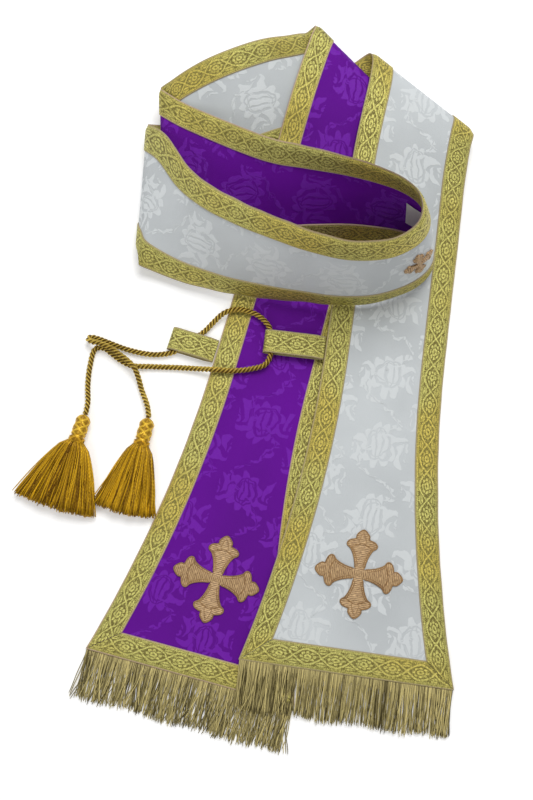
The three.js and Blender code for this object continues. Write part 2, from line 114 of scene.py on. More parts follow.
# %% Smooth curve
def smooth_curve(knots, params):
    """Centripetal Catmull-Rom curve through knots at params, which run from 0 to 1.

    Between knots b and c it is the cubic that starts at b and ends at c, with end slopes taken
    from the neighbours a and d over spacings that are the square roots of the distances. Past
    either end a mirrored knot is added.
    """
    knots = np.asarray(knots, float)
    ends = [2 * knots[0] - knots[1], 2 * knots[-1] - knots[-2]]
    padded = np.vstack([ends[0], knots, ends[1]])
    place = np.clip(np.asarray(params, float), 0, 1) * (len(knots) - 1)
    start = np.minimum(place.astype(int), len(knots) - 2)
    part = (place - start)[:, None]
    a, b, c, d = (padded[start + k] for k in range(4))
    before, within, after = (
        np.sqrt(np.linalg.norm(q - p, axis=1))[:, None] for p, q in ((a, b), (b, c), (c, d)))
    within = np.where(within < 1e-4, 1, within)
    before, after = (np.where(gap < 1e-4, within, gap) for gap in (before, after))
    slope_b = ((b - a) / before - (c - a) / (before + within) + (c - b) / within) * within
    slope_c = ((c - b) / within - (d - b) / (within + after) + (d - c) / after) * within
    cubic = 2 * b - 2 * c + slope_b + slope_c
    square = 3 * c - 3 * b - 2 * slope_b - slope_c
    return b + part * (slope_b + part * (square + part * cubic))


def even_steps(knots, spacing):
    """Points along the smooth curve, about spacing apart, and the length up to each."""
    dense = smooth_curve(knots, np.linspace(0, 1, 6000))
    travelled = np.append(0, np.cumsum(np.linalg.norm(np.diff(dense, axis=0), axis=1)))
    length = np.linspace(0, travelled[-1], int(travelled[-1] / spacing) + 2)
    return np.stack([np.interp(length, travelled, dense[:, k]) for k in range(3)], -1), length


# %% [markdown]
# ## Meshes from arrays
# Cloth, galloon and label are slabs: one grid of points for the upper side, one for the under side,
# and walls round the rim. Threads and cord are tubes: rings of points carried along a path, closed
# at both ends. Both are built as whole arrays of corners, so a piece of fifty thousand faces takes
# a moment. Each corner also gets a UV value in metres, along and across the weave.


# %% Mesh helpers
def grid_quads(index):
    """Quads of a grid of vertex numbers; they face along (row direction) x (column direction)."""
    return np.stack([index[:-1, :-1], index[1:, :-1], index[1:, 1:], index[:-1, 1:]],
                    -1).reshape(-1, 4)


def slab(upper, under, uv):
    """A closed slab between two grids of points: (rows, columns, 3) each, uv (rows, columns, 2)."""
    rows, columns = upper.shape[:2]
    top = np.arange(rows * columns).reshape(rows, columns)
    low = top + rows * columns
    rim = np.concatenate([top[:, 0], top[-1, 1:], top[-2::-1, -1], top[0, -2:0:-1]])
    rim_next = np.roll(rim, -1)
    walls = np.stack([rim, rim + rows * columns, rim_next + rows * columns, rim_next], -1)
    quads = np.vstack([grid_quads(top), grid_quads(low)[:, ::-1], walls])
    points = np.vstack([upper.reshape(-1, 3), under.reshape(-1, 3)])
    corners = np.vstack([uv.reshape(-1, 2)] * 2)[quads]
    return points, quads, corners


def tubes(rings, uv):
    """Closed tubes from rings (tubes, rows, sides, 3) that turn left-handed seen along the rows.

    uv is (tubes, rows, sides + 1, 2), so that the weave closes round the tube. Each end shrinks
    to one point, which shuts it with a fan of thin quads.
    """
    count, rows, sides = rings.shape[:3]
    middle = rings.mean(axis=2, keepdims=True)
    rings = np.concatenate([np.repeat(middle[:, :1], sides, 2) * 0.999 + rings[:, :1] * 0.001,
                            rings,
                            np.repeat(middle[:, -1:], sides, 2) * 0.999 + rings[:, -1:] * 0.001],
                           axis=1)
    uv = np.concatenate([uv[:, :1], uv, uv[:, -1:]], axis=1)
    rows += 2
    index = np.arange(count * rows * sides).reshape(count, rows, sides)
    index = np.concatenate([index, index[..., :1]], axis=2)
    corner = np.arange(count * rows * (sides + 1)).reshape(count, rows, sides + 1)
    quads = np.vstack([grid_quads(one) for one in index])
    corners = uv.reshape(-1, 2)[np.vstack([grid_quads(one) for one in corner])]
    return rings.reshape(-1, 3), quads, corners


def joined(parts):
    """Several (points, quads, corners) as one."""
    offsets = np.cumsum([0] + [len(points) for points, _, _ in parts])
    return (np.vstack([points for points, _, _ in parts]),
            np.vstack([quads + start for (_, quads, _), start in zip(parts, offsets)]),
            np.vstack([corners for _, _, corners in parts]))


def make_piece(name, shape, material, replaces, body="root"):
    """A mesh object from a shape in layout millimetres, riding on a body of the frame."""
    points, quads, corners = shape
    mesh = bpy.data.meshes.new(name)
    mesh.from_pydata(in_frame(points), [], quads.tolist())
    layer = mesh.uv_layers.new(name="weave")
    layer.data.foreach_set("uv", (corners.reshape(-1, 2) * MM).ravel())
    mesh.polygons.foreach_set("use_smooth", np.ones(len(quads), bool))
    mesh.materials.append(material)
    mesh.validate()
    piece = bpy.data.objects.new(name, mesh)
    bpy.context.scene.collection.objects.link(piece)
    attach(piece, body)
    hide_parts(*replaces)
    print(f"{name}: {len(quads)} quads")
    return piece

# %% [markdown]
# ## Shader arithmetic
# The weaves are formulas of the distance along and across the cloth. Written as node links they
# would fill pages, so a small class wraps a node's output: arithmetic on it adds Math nodes, and
# one method adds any other node.


# %% Shader helper
class Value:
    """A number from a node. Operators and methods on it add Math nodes to the same tree."""

    def __init__(self, paint, socket):
        self.paint, self.socket = paint, socket

    def math(self, operation, *others):
        return self.paint.add("ShaderNodeMath", {"operation": operation},
                              dict(enumerate((self, *others))))

    def __add__(self, other): return self.math("ADD", other)
    def __sub__(self, other): return self.math("SUBTRACT", other)
    def __mul__(self, other): return self.math("MULTIPLY", other)
    def __truediv__(self, other): return self.math("DIVIDE", other)
    def __neg__(self): return self.math("MULTIPLY", -1.0)
    def __rsub__(self, other): return (-self).math("ADD", other)
    __radd__, __rmul__ = __add__, __mul__

    def below(self, edge, soft):
        """1 where the value is under edge, 0 where it is over, fading over soft."""
        return self.paint.add("ShaderNodeMapRange", {"interpolation_type": "SMOOTHSTEP"}, {
            0: self, 1: edge - soft / 2, 2: edge + soft / 2, 3: 1.0, 4: 0.0})

    def above(self, edge, soft): return 1 - self.below(edge, soft)
    def sin(self): return self.math("SINE")
    def cos(self): return self.math("COSINE")
    def abs(self): return self.math("ABSOLUTE")
    def fraction(self): return self.math("FRACT")
    def root(self): return self.math("SQRT")
    def min(self, other): return self.math("MINIMUM", other)
    def max(self, other): return self.math("MAXIMUM", other)
    def wave(self, length, phase=0.0): return (self * (2 * math.pi / length) + phase).sin()


class Paint:
    """One material's node tree, cleared but for its Principled shader."""

    def __init__(self, name, shader):
        self.material = bpy.data.materials.new(name)
        self.material.use_nodes = True
        self.tree = self.material.node_tree
        self.shader = self.tree.nodes["Principled BSDF"]
        for socket, value in shader.items():
            self.shader.inputs[socket].default_value = value

    def plug(self, socket, value):
        if isinstance(value, Value):
            self.tree.links.new(value.socket, socket)
        else:
            socket.default_value = value

    def add(self, kind, settings, inputs, output=0):
        """Any node: its settings first, then its sockets' values or links; gives one output."""
        node = self.tree.nodes.new(kind)
        for name, value in settings.items():
            if name == "stops":
                ramp = node.color_ramp
                for position, colour in value[len(ramp.elements):]:
                    ramp.elements.new(position)
                for element, (position, colour) in zip(ramp.elements, value):
                    element.position, element.color = position, (*colour, 1)
            else:
                setattr(node, name, value)
        for name, value in inputs.items():
            self.plug(node.inputs[name], value)
        return Value(self, node.outputs[output])

    def weave(self):
        """Distances along and across the weave, in millimetres, from the piece's UV map."""
        uv = self.add("ShaderNodeUVMap", {"uv_map": "weave"}, {})
        return [self.add("ShaderNodeSeparateXYZ", {}, {0: uv}, axis) * 1000 for axis in (0, 1)]

    def place(self):
        return self.add("ShaderNodeTexCoord", {}, {}, "Object")

    def noise(self, at, scale, detail=2.0, distortion=0.0):
        return self.add("ShaderNodeTexNoise", {}, {
            "Vector": at, "Scale": scale, "Detail": detail, "Distortion": distortion})

    def vector(self, x, y, z=0.0):
        return self.add("ShaderNodeCombineXYZ", {}, {0: x, 1: y, 2: z})

    def mix(self, factor, a, b):
        """Colour a where factor is 0 and b where it is 1."""
        a, b = ((*c, 1) if isinstance(c, tuple) else c for c in (a, b))
        return self.add("ShaderNodeMix", {"data_type": "RGBA"}, {0: factor, 6: a, 7: b}, 2)

    def finish(self, links, height=None, depth=0.0002):
        """Links to the shader, and a bump from a height of 0 to 1 that stands depth metres tall."""
        for socket, value in links.items():
            self.plug(self.shader.inputs[socket], value)
        if height is not None:
            bump = self.add("ShaderNodeBump", {}, {"Distance": depth, "Height": height}, 0)
            self.tree.links.new(bump.socket, self.shader.inputs["Normal"])
        return self.material


# %% [markdown]
# ## Damask
# Damask shows its figures by gloss, not by dye: satin floats on a duller ground. Here the satin is
# also given a lighter colour than the ground, which is painted sheen. A repeat of 46 by 62 mm, moved
# half a repeat in every other column, holds a ribbed pomegranate, a swirl of leaves and a winding
# vine. A little noise bends the coordinates, so no two repeats are alike, and the floats lie across
# the ground weave in the bump.


# %% Damask
REPEAT_WIDE, REPEAT_LONG = 46.0, 62.0


def polar(x, y):
    """Distance and angle of a point from zero."""
    return (x * x + y * y).root(), y.math("ARCTAN2", x)


def damask_figures(paint, along, across):
    """1 on the satin figures and 0 on the ground."""
    bend = paint.vector(across * 0.03, along * 0.03)
    curl = paint.vector(across * 0.11, along * 0.11)
    x = across + (paint.noise(bend, 1.0) - 0.5) * 16 + (paint.noise(curl, 1.0) - 0.5) * 5 + 4
    y = along + (paint.noise(bend, 1.3, distortion=0.6) - 0.5) * 18 + (paint.noise(curl, 1.4) - 0.5) * 5
    column = (x / REPEAT_WIDE).math("ROUND")
    x = x - column * REPEAT_WIDE
    y = ((y / REPEAT_LONG + column * 0.5).fraction() - 0.5) * REPEAT_LONG
    # A pomegranate: an oval with meridian ribs, a dark line inside its rim and a crown of petals.
    oval, turn = polar(x / 9.5, y / 12.5)
    rib = ((x / (1.06 - (y / 13) * (y / 13)).max(0.05).root()).abs().wave(5.2, 1.2)).above(-0.55, 0.5)
    fruit = oval.below(0.98, 0.06) * (1 - oval.above(0.78, 0.05) * oval.below(0.86, 0.05)) * rib
    crown = oval.above(1.08, 0.05) * (oval - (turn * 4.5).cos().abs() * 0.42).below(1.12, 0.07)
    # A swirl of claw-shaped leaves halfway between: arms on a spiral, pointed at both ends.
    from_swirl, angle = polar(x.abs() - REPEAT_WIDE / 2, y)
    arms = (angle * 4 + from_swirl.math("LOGARITHM", 2.718) * 5.0).sin()
    taper = ((from_swirl - 3.5) * (math.pi / 11)).sin() * 1.25
    swirl = (arms + taper).above(1.0, 0.3) * from_swirl.below(13.5, 0.3) * from_swirl.above(3.5, 0.3)
    swirl = swirl.max((from_swirl - 1.6).abs().below(0.8, 0.4))
    # A vine that winds between them, with curled leaves on alternate sides.
    vine = x - y.wave(REPEAT_LONG, 0.4) * 15
    stem = vine.abs()
    leaf = (vine - y.wave(15.0) * 3.2).abs().below(0.9, 0.4) * y.wave(7.5, 0.8).above(-0.2, 0.5)
    lobes = (stem - y.wave(9.2).max(0.0) * 3.0).below(0.8, 0.5) * stem.above(0.4, 0.25)
    return fruit.max(crown).max(swirl).max(leaf).max(lobes)


def damask(name, ground, satin_with_painted_sheen, gloss):
    """Damask in two colours: the ground's and the satin's, which is lighter as painted sheen, and the
    roughness of each.
    """
    paint = Paint(name, {"Sheen Weight": 0.05, "Sheen Roughness": 0.4, "Sheen Tint": (*satin_with_painted_sheen, 1),
                         "Specular IOR Level": 0.16})
    along, across = paint.weave()
    figure = damask_figures(paint, along, across)
    pooled = paint.noise(paint.place(), 9.0, 3.0)
    fibre = paint.noise(paint.vector(along * 0.5, across * 6), 1.0, 2.0)
    shade = paint.mix(pooled.below(0.5, 0.5), ground, tuple(c * 0.8 for c in ground))
    # The satin figures are mixed in a lighter colour than the ground: painted sheen.
    colour = paint.mix(figure * (0.7 + fibre * 0.3), shade, satin_with_painted_sheen)
    floats = across.wave(0.42).abs() * figure + (along.wave(0.5) * across.wave(0.5)) * (1 - figure)
    height = figure * 0.7 + floats * 0.3 + paint.noise(paint.place(), 60.0, 3.0) * 1.2
    return paint.finish({"Base Color": colour, "Roughness": gloss[0] - figure * (gloss[0] - gloss[1])},
                        height, 0.00018)


# Ground colour, then the satin colour, lighter as painted sheen, then the roughness of each.
PURPLE_DAMASK = damask("purple_damask", (0.140, 0.0015, 0.330), (0.180, 0.014, 0.425), (0.62, 0.34))
WHITE_DAMASK = damask("white_damask", (0.655, 0.690, 0.705), (0.710, 0.742, 0.752), (0.6, 0.36))
print("damask nodes:", len(PURPLE_DAMASK.node_tree.nodes))

# %% [markdown]
# ## Galloon
# The border is a woven ribbon, 20 mm wide, of metallic thread: two bright stems that cross and part
# round each rosette, with leaves at the crossings, on a browner ground with a tan selvedge
# of twisted thread on each edge. Metal thread glitters, so both the roughness and the bump carry a
# grain of about half a millimetre, and the colour carries painted glints and painted glitter.


# %% Galloon
GALLOON_WIDTH = 20.0
GALLOON_REPEAT = 46.0


def galloon(name, bright, ground, selvedge):
    """Woven metal ribbon; across runs from 0 to GALLOON_WIDTH."""
    paint = Paint(name, {"Specular IOR Level": 0.6})
    along, across = paint.weave()
    wander = paint.vector(along * 0.09, across * 0.12)
    s = ((along / GALLOON_REPEAT + paint.noise(wander, 1.0) * 0.07).fraction() - 0.5) * GALLOON_REPEAT
    middle = across - GALLOON_WIDTH / 2
    sway = middle + (paint.noise(wander, 1.7) - 0.5) * 1.6
    off = sway.abs()
    # Two stems cross and part again, and make a lens-shaped frame round each rosette.
    frame = (off - s.wave(GALLOON_REPEAT).abs() * 6.0).abs().below(0.85, 0.4)
    # Two oval rosettes in each repeat: scalloped, with a dark ring, petal lines and a dark eye.
    from_middle = s.abs() - GALLOON_REPEAT / 4
    oval, turn = polar(from_middle / 1.65, sway)
    scallop = (turn * 8).cos()
    rosette = (oval - scallop * 0.35).below(3.9, 0.3)
    rings = (oval - 2.3).abs().below(0.35, 0.25).max(oval.below(0.7, 0.3))
    rings = rings.max((-scallop).above(0.8, 0.2) * oval.above(2.4, 0.2))
    rosette = rosette * (1 - rings * 0.9)
    # Pointed leaves, each with a vein, above and below each crossing.
    past = (GALLOON_REPEAT / 4 - from_middle.abs()) / 4.6
    blade = (off - 4.9) / 1.75
    leaf = (past * past + blade.abs()).below(1.0, 0.2) * (1 - blade.abs().below(0.16, 0.12) * 0.8)
    inside = middle.abs()
    line = (inside - 7.7).abs().below(0.42, 0.25)
    beads = (inside - 6.8).abs().below(0.3, 0.2) * along.wave(1.7).above(-0.2, 0.5)
    figure = frame.max(rosette).max(leaf).max(line).max(beads) * inside.below(8.3, 0.2)
    edge = inside.above(9.05, 0.25)
    rim = inside.above(8.3, 0.2)
    # Thread grain, painted glints and glitter in the colour, and slow drifts of tone along the ribbon.
    grain = paint.noise(paint.vector(along * 1.7, across * 2.6), 1.0, 2.0)
    threads = (along + across * 0.35).wave(0.62) * across.wave(0.9)
    drift = paint.noise(paint.vector(along * 0.012, across * 0.01), 1.0, 1.0)
    painted_glint = grain.above(0.60, 0.12)
    painted_glitter = paint.noise(paint.vector(along * 0.6, across * 0.7, 3.0), 1.0, 4.0)
    painted_flecks = paint.noise(paint.vector(along * 1.1, across * 1.3, 9.0), 1.0, 1.0).above(0.60, 0.08)
    # The pattern, plus painted glints, painted glitter and painted flecks of light, sets how gold each point
    # is.
    pattern_and_painted_glints = figure * 0.62 + rim * 0.42 + painted_glint * 0.4 + (painted_glitter - 0.5) * 1.8 + painted_flecks * 0.4 - 0.03
    base = paint.mix(drift.above(0.5, 0.3), ground, tuple(c * f for c, f in zip(ground, (1.25, 1.3, 1.5))))
    gold = paint.mix(drift.above(0.52, 0.25), bright, tuple(c * f for c, f in zip(bright, (1.0, 0.86, 0.62))))
    colour = paint.mix(pattern_and_painted_glints.max(0.0).min(1.0), base, gold)
    twist = (along * 1.0 + middle.abs() * 1.5).wave(1.1)
    # The selvedge's twist is painted in its colour and a darker copy of it: painted shade along the twist.
    colour = paint.mix(edge * 0.85, colour, paint.mix(twist.above(0.0, 1.0), selvedge,
                                                     tuple(c * 0.6 for c in selvedge)))
    metal = (1 - edge) * (0.35 + figure * 0.35)
    height = figure * 0.5 + threads * 0.18 + grain * 0.9 + edge * (twist * 0.3 + 0.2)
    return paint.finish({"Base Color": colour, "Metallic": metal,
                         "Roughness": 0.55 - figure * 0.12 - painted_glint * 0.15 + edge * 0.2},
                        height, 0.00032)


BRIGHT_GOLD = (0.79, 0.745, 0.225)
GROUND_GOLD = (0.165, 0.133, 0.020)
PURPLE_GALLOON = galloon("galloon_purple_side", BRIGHT_GOLD, GROUND_GOLD, (0.72, 0.50, 0.36))
WHITE_GALLOON = galloon("galloon_white_side", BRIGHT_GOLD, GROUND_GOLD, (0.58, 0.46, 0.25))

# %% [markdown]
# ## Threads
# Fringe, tassels and cord are all twisted or combed thread. What differs is colour, gloss and the
# slant of the twist. One function makes them: fine ridges that run round the tube at a slant, with
# painted shade on them and, on the cord, in the grooves between strands, and tone that changes from
# thread to thread.


# %% Thread
THREAD_STEP = 3.0


def thread(name, light, dark, twist, gloss, depth=0.00012, sheen=0.0, grain=260.0, shine=0.4,
           apart=0.0, painted_groove_shade_spacing=0.0):
    """Twisted thread: ridges every twist mm along, with painted shade on them, and tone that drifts along it.

    apart is how much whole threads differ from each other: each has its own step of the UV map.
    The groove spacing is the distance round a cord from one strand to the next, with painted shade where the
    strands meet.
    """
    paint = Paint(name, {"Sheen Weight": sheen, "Sheen Tint": (*light, 1), "Specular IOR Level": 0.25,
                         "Sheen Roughness": 0.35})
    along, across = paint.weave()
    ridge = (along + across * 0.6).wave(twist)
    tone = paint.noise(paint.place(), grain, 2.0)
    broad = paint.noise(paint.place(), 40.0, 1.0)
    # The twist's ridges are painted a little lighter and darker too: painted shade on the ridges.
    share = tone * 0.75 + broad * 0.5 - 0.12 + ridge * 0.1
    if apart:
        own = paint.add("ShaderNodeTexWhiteNoise", {"noise_dimensions": "1D"},
                        {"W": (across / THREAD_STEP + 0.01).math("FLOOR")})
        share = share * (1 - apart) + (own * 1.3 - 0.15) * apart
    if painted_groove_shade_spacing:
        # Painted shade in the grooves between the cord's strands.
        share = share * (across.wave(painted_groove_shade_spacing, math.pi / 2) * 0.75 + 0.62)
    colour = paint.mix(share.max(0.0).min(1.0), dark, light)
    return paint.finish({"Base Color": colour, "Roughness": gloss + tone * 0.15, "Metallic": tone * shine},
                        ridge * 0.5 + tone * 0.5, depth)


FRINGE_THREAD = thread("fringe_thread", (0.82, 0.69, 0.29), (0.050, 0.036, 0.008), 0.9, 0.5, apart=0.75)
SILK_GOLD = thread("silk_gold", (0.84, 0.495, 0.013), (0.105, 0.036, 0.001), 3.0, 0.34, grain=420.0,
                   shine=0.8, apart=0.7)


def netted_silk(name, light, dark, radius, meshes, slope):
    """Wound silk under a net: the net's two sets of slanting cords are light, and its meshes are darker as
    painted shade in the hollows between the cords.
    """
    paint = Paint(name, {"Specular IOR Level": 0.3})
    along, across = paint.weave()
    turn = across * (meshes / radius)
    cords = (turn + along * slope).cos().max((turn - along * slope).cos())
    tone = paint.noise(paint.place(), 500.0, 2.0)
    # Painted shade: the meshes between the net's raised cords are darker than the cords.
    colour = paint.mix((cords.above(0.62, 0.5) * 0.6 + tone * 0.75 - 0.05).max(0.0).min(1.0), dark, light)
    return paint.finish({"Base Color": colour, "Roughness": 0.42 - tone * 0.1, "Metallic": tone * 0.8},
                        cords * 0.6 + along.wave(0.9) * 0.2 + tone * 0.3, 0.0004)


HEAD_SILK = netted_silk("head_silk", (0.88, 0.56, 0.045), (0.24, 0.10, 0.004), 6.5, 4.0, 0.95)
STRAND_APART = 2 * math.pi * 2.5 / 3
CORD_GOLD = thread("cord_gold", (0.92, 0.67, 0.13), (0.12, 0.060, 0.004), 0.9, 0.36, shine=0.8,
                   painted_groove_shade_spacing=STRAND_APART)


# %% [markdown]
# Linen shows only as the label and, between the layers, as interlining and the fringe's heading.
# Its plain weave is a product of two sines, in the bump and as painted shade in the colour.


# %% Linen and embroidery
def linen(name, light, dark):
    paint = Paint(name, {"Sheen Weight": 0.15})
    along, across = paint.weave()
    weave = along.wave(0.7) * across.wave(0.7)
    tone = paint.noise(paint.place(), 90.0, 3.0)
    # The weave's crossings are painted lighter and darker: painted shade of the weave.
    colour = paint.mix(weave * 0.2 + tone * 0.8, dark, light)
    return paint.finish({"Base Color": colour, "Roughness": 0.85 - tone * 0.1}, weave, 0.0001)


def embroidery(name, light, dark, stitch):
    """Satin stitch: straight threads side by side across each arm, with a soft gloss and painted shade
    between the rows of stitches.
    """
    paint = Paint(name, {"Specular IOR Level": 0.5, "Sheen Weight": 0.15})
    along, across = paint.weave()
    row = (along + paint.noise(paint.vector(along * 0.4, across * 0.4), 1.0) * 0.6).wave(stitch)
    tone = paint.noise(paint.vector(along * 1.2, across * 0.35), 1.0, 3.0)
    # The stitch rows are painted lighter and darker: painted shade between the stitches.
    colour = paint.mix((row * 0.24 + tone * 1.7 - 0.42).max(0.0).min(1.0), dark, light)
    return paint.finish({"Base Color": colour, "Roughness": 0.5 - tone * 0.1, "Metallic": tone * 0.3},
                        row * 0.6 + tone * 0.4, 0.0002)


LINEN = linen("linen", (0.80, 0.79, 0.76), (0.62, 0.60, 0.56))
SATIN_STITCH = embroidery("satin_stitch", (0.78, 0.52, 0.26), (0.17, 0.085, 0.030), 1.5)
COUCHED_CORD = thread("couched_cord", (0.52, 0.32, 0.14), (0.13, 0.06, 0.022), 1.3, 0.5)

# %% [markdown]
# ## The cord
# A soft cord of 5 mm, three strands twisted together, laid through both keepers from one tassel to
# the other. It lies on the floor, climbs over the purple end and crosses itself near the tassels.
# It is one surface: its section has three lobes, and the section turns once every 10.5 mm along the
# route, which leaves the grooves between the strands without any hidden faces inside.

# %% Cord route
CORD_ROUTE = [
    [-152.5, -13.9, 7.1], [-151, -3.4, 6], [-152, 12, 2.9], [-150.5, 30, 2.9],
    [-146.5, 44, 2.9], [-139, 44.5, 2.9], [-132, 39.5, 2.9], [-124, 33.5, 2.9],
    [-115.5, 29.5, 2.9], [-99, 28.5, 2.9], [-74, 27.5, 2.9], [-58, 26, 5.2],
    [-45, 24.5, 8.8], [-27, 23.5, 8.8], [-13, 25, 9.1], [-1.5, 28.5, 9.6],
    [3, 36, 9.7], [3.5, 50, 9.7], [2.5, 61, 9.6], [-6.5, 71.5, 9.1],
    [-18.5, 76.5, 9.2], [-28, 77, 9.4], [-37, 74, 8.2], [-46, 66.5, 5],
    [-53, 59.5, 3.7], [-62, 53, 3.7], [-71, 46.5, 3.7], [-80, 41, 3.6],
    [-93, 39, 2.9], [-105, 40, 2.9], [-121, 44, 2.9], [-134, 49, 2.9],
    [-144.5, 53, 3], [-151, 54, 4.4], [-152, 51, 7], [-148.5, 49, 8.8],
    [-142, 47.5, 9], [-133, 43.5, 9], [-124.5, 37.5, 9], [-117, 31.5, 9],
    [-112, 26, 8.6], [-109, 19, 5.4], [-106, 8, 3], [-100.8, -6, 5.4],
    [-99, -16.5, 7.1],
]
CORD_RADIUS, CORD_LAY = 2.5, 10.5
STRAND_OUT, STRAND_RADIUS = 1.33, 1.17
CORD_SIDES = 30

cord_line, cord_length = even_steps(CORD_ROUTE, 0.9)


# %% Cord
def frame_along(line):
    """Unit tangent, sideways and upward directions at each point of a line that lies fairly flat."""
    tangent = np.gradient(line, axis=0)
    tangent /= np.linalg.norm(tangent, axis=1, keepdims=True)
    side = np.cross(tangent, [0, 0, 1.0])
    side /= np.linalg.norm(side, axis=1, keepdims=True)
    return tangent, side, np.cross(side, tangent)


def twisted_cord(line, length, lay):
    """Rings whose radius is the far side of the nearest of three strands, turning once per lay."""
    _, side, up = frame_along(line)
    around = np.linspace(0, 2 * np.pi, CORD_SIDES, endpoint=False)[None, :]
    turn = 2 * np.pi * length[:, None] / lay
    off = np.mod(around + np.pi / 3, 2 * np.pi / 3) - np.pi / 3
    radius = STRAND_OUT * np.cos(off) + np.sqrt(STRAND_RADIUS**2 - (STRAND_OUT * np.sin(off))**2)
    angle = around + turn
    rings = line[:, None] + radius[..., None] * (np.cos(angle)[..., None] * side[:, None]
                                                 + np.sin(angle)[..., None] * up[:, None])
    across = np.linspace(0, 2 * np.pi * CORD_RADIUS, CORD_SIDES + 1)
    uv = np.stack(np.broadcast_arrays(length[:, None], across[None, :]), -1)
    return tubes(rings[None, :, ::-1], uv[None])


cord = make_piece("twisted_cord", twisted_cord(cord_line, cord_length, CORD_LAY), CORD_GOLD,
                  ["cord"])

# %% [markdown]
# ## The floor and the light
# A pale floor runs far past the stole. The light is a soft panel above the looped end, a
# weaker one from the fringed end and a bright surround, as in a light tent, so shadows stay faint.

# %% Studio
FLOOR_SIZE = 6.0


def pale_floor():
    corner = FLOOR_SIZE / 2
    mesh = bpy.data.meshes.new("floor")
    mesh.from_pydata([(-corner, -corner, 0), (corner, -corner, 0), (corner, corner, 0),
                      (-corner, corner, 0)], [], [(0, 1, 2, 3)])
    paint = Paint("floor_white", {"Base Color": (0.9, 0.9, 0.9, 1), "Roughness": 0.9,
                                  "Specular IOR Level": 0.1, "Emission Color": (1, 1, 1, 1),
                                  "Emission Strength": 0.25})
    mesh.materials.append(paint.material)
    floor = bpy.data.objects.new("floor", mesh)
    floor.location.z = -0.0003
    bpy.context.scene.collection.objects.link(floor)


def soft_panel(name, place, aim, size, power):
    """A square area light at place, turned to face aim."""
    data = bpy.data.lights.new(name, "AREA")
    data.size, data.energy = size, power
    light = bpy.data.objects.new(name, data)
    away = np.array(place, float) - np.array(aim, float)
    flat = math.hypot(away[0], away[1])
    light.location = place
    light.rotation_euler = (math.atan2(flat, away[2]), 0, math.atan2(away[0], -away[1]))
    bpy.context.scene.collection.objects.link(light)


pale_floor()
soft_panel("overhead", (0.25, 0.8, 1.6), (0, 0, 0), 1.0, 22)
soft_panel("front_fill", (-0.9, -1.0, 1.3), (0, 0, 0), 1.0, 6)
world = bpy.data.worlds.new("surround")
world.use_nodes = True
world.node_tree.nodes["Background"].inputs["Color"].default_value = (1, 1, 1, 1)
world.node_tree.nodes["Background"].inputs["Strength"].default_value = 0.36
bpy.context.scene.world = world

# %% [markdown]
# ## Where the cloth lies
# The stole is one strip. Its middle line is given at 41 places, each with the direction of the
# line across the cloth: a heading and a rise. A crease has two more numbers, the radius that it
# turns on and how far its two layers open. Each crease becomes half a circle of stations.

# %% Cloth route
END_WIDTH, BODY_WIDTH, NECK_WIDTH = 175.0, 107.0, 90.0
FLARE_LENGTH = 260.0
BULGE = 5.0
ROUTE = [
    [-62, -229, 2.5, 165, 0], [-3, -8, 2.9, 165, 0.3], [26, 98, 4.5, 164, 1],
    [53, 198, 11.5, 160, 5], [67, 250, 21, 153, 12], [81, 301, 17, 139, 9, -5.5, 3.3],
    [57, 288, 15.5, 121, 10], [33, 278, 21, 117, 16], [10, 268, 29, 114, 25],
    [-25, 254, 31, 112, 26], [-60, 238, 25, 104, 17], [-94, 218, 18.3, 91, 8, 3.5, 0],
    [-67, 201, 28, 76, 15], [-30, 181, 38, 72, 29], [4, 166, 48, 76, 41],
    [33, 160, 56, 82, 52], [60, 156, 60, 85, 61], [90, 150, 62, 90, 69],
    [113, 143, 62, 105, 75], [130, 133, 60, 130, 76], [133, 118, 59, 148, 75],
    [121, 105, 58, 140, 74], [104, 97, 58, 128, 74], [86, 93, 58, 112, 74],
    [66, 93, 57, 97, 73], [42, 97, 56, 84, 71], [9, 106, 52, 74, 64],
    [-22, 116, 48, 71, 56], [-52, 129, 43, 69, 47], [-77, 145, 36, 68, 34],
    [-95, 163, 31, 71, 19], [-110, 188, 13.8, 83, 4, -11.5, 4], [-50, 213, 2.3, 108, 0],
    [20, 238, 2.3, 109, 0], [85, 261, 2.3, 115, 0], [137, 279, 11.5, 141, 1.5, 9.2, 1.5],
    [125, 207, 18.5, 166, 3], [116, 140, 11, 171, 3], [107, 78, 7.5, 172, 3],
    [92, -28, 6.2, 172, 3], [64, -227, 6.2, 172, 2.4],
]
NECK_ROW = 19
CREASE_STEPS = 6


def direction(heading, rise=0.0):
    a, b = math.radians(heading), math.radians(rise)
    return np.array([math.cos(a) * math.cos(b), math.sin(a) * math.cos(b), math.sin(b)])


def unit(vector):
    return vector / np.linalg.norm(vector, axis=-1, keepdims=True)


def crease(row, before, after):
    """Stations round a crease: half a circle about the line across, shifted along it if slanted."""
    middle, across = np.array(row[:3], float), direction(row[3], row[4])
    into, out = unit(middle - before), unit(after - middle)
    slant = unit((into - out) * [1, 1, 0])
    outward = unit(slant - across * (slant @ across))
    upward = unit(np.cross(outward, across))
    upward = -upward if upward[2] < 0 else upward
    radius, opening = abs(row[5]), math.tan(math.radians(row[6]))
    along = min(into @ across, out @ across, key=abs)
    shift = math.pi * radius * along / math.sqrt(1 - along * along)
    share = np.linspace(0, 1, CREASE_STEPS + 1)[:, None]
    spoke = outward * np.sin(np.pi * share) - upward * math.copysign(1, row[5]) * np.cos(np.pi * share)
    centres = middle + spoke * radius - outward * radius + across * shift * (share - 0.5)
    return np.hstack([centres, unit(across + spoke * opening)])


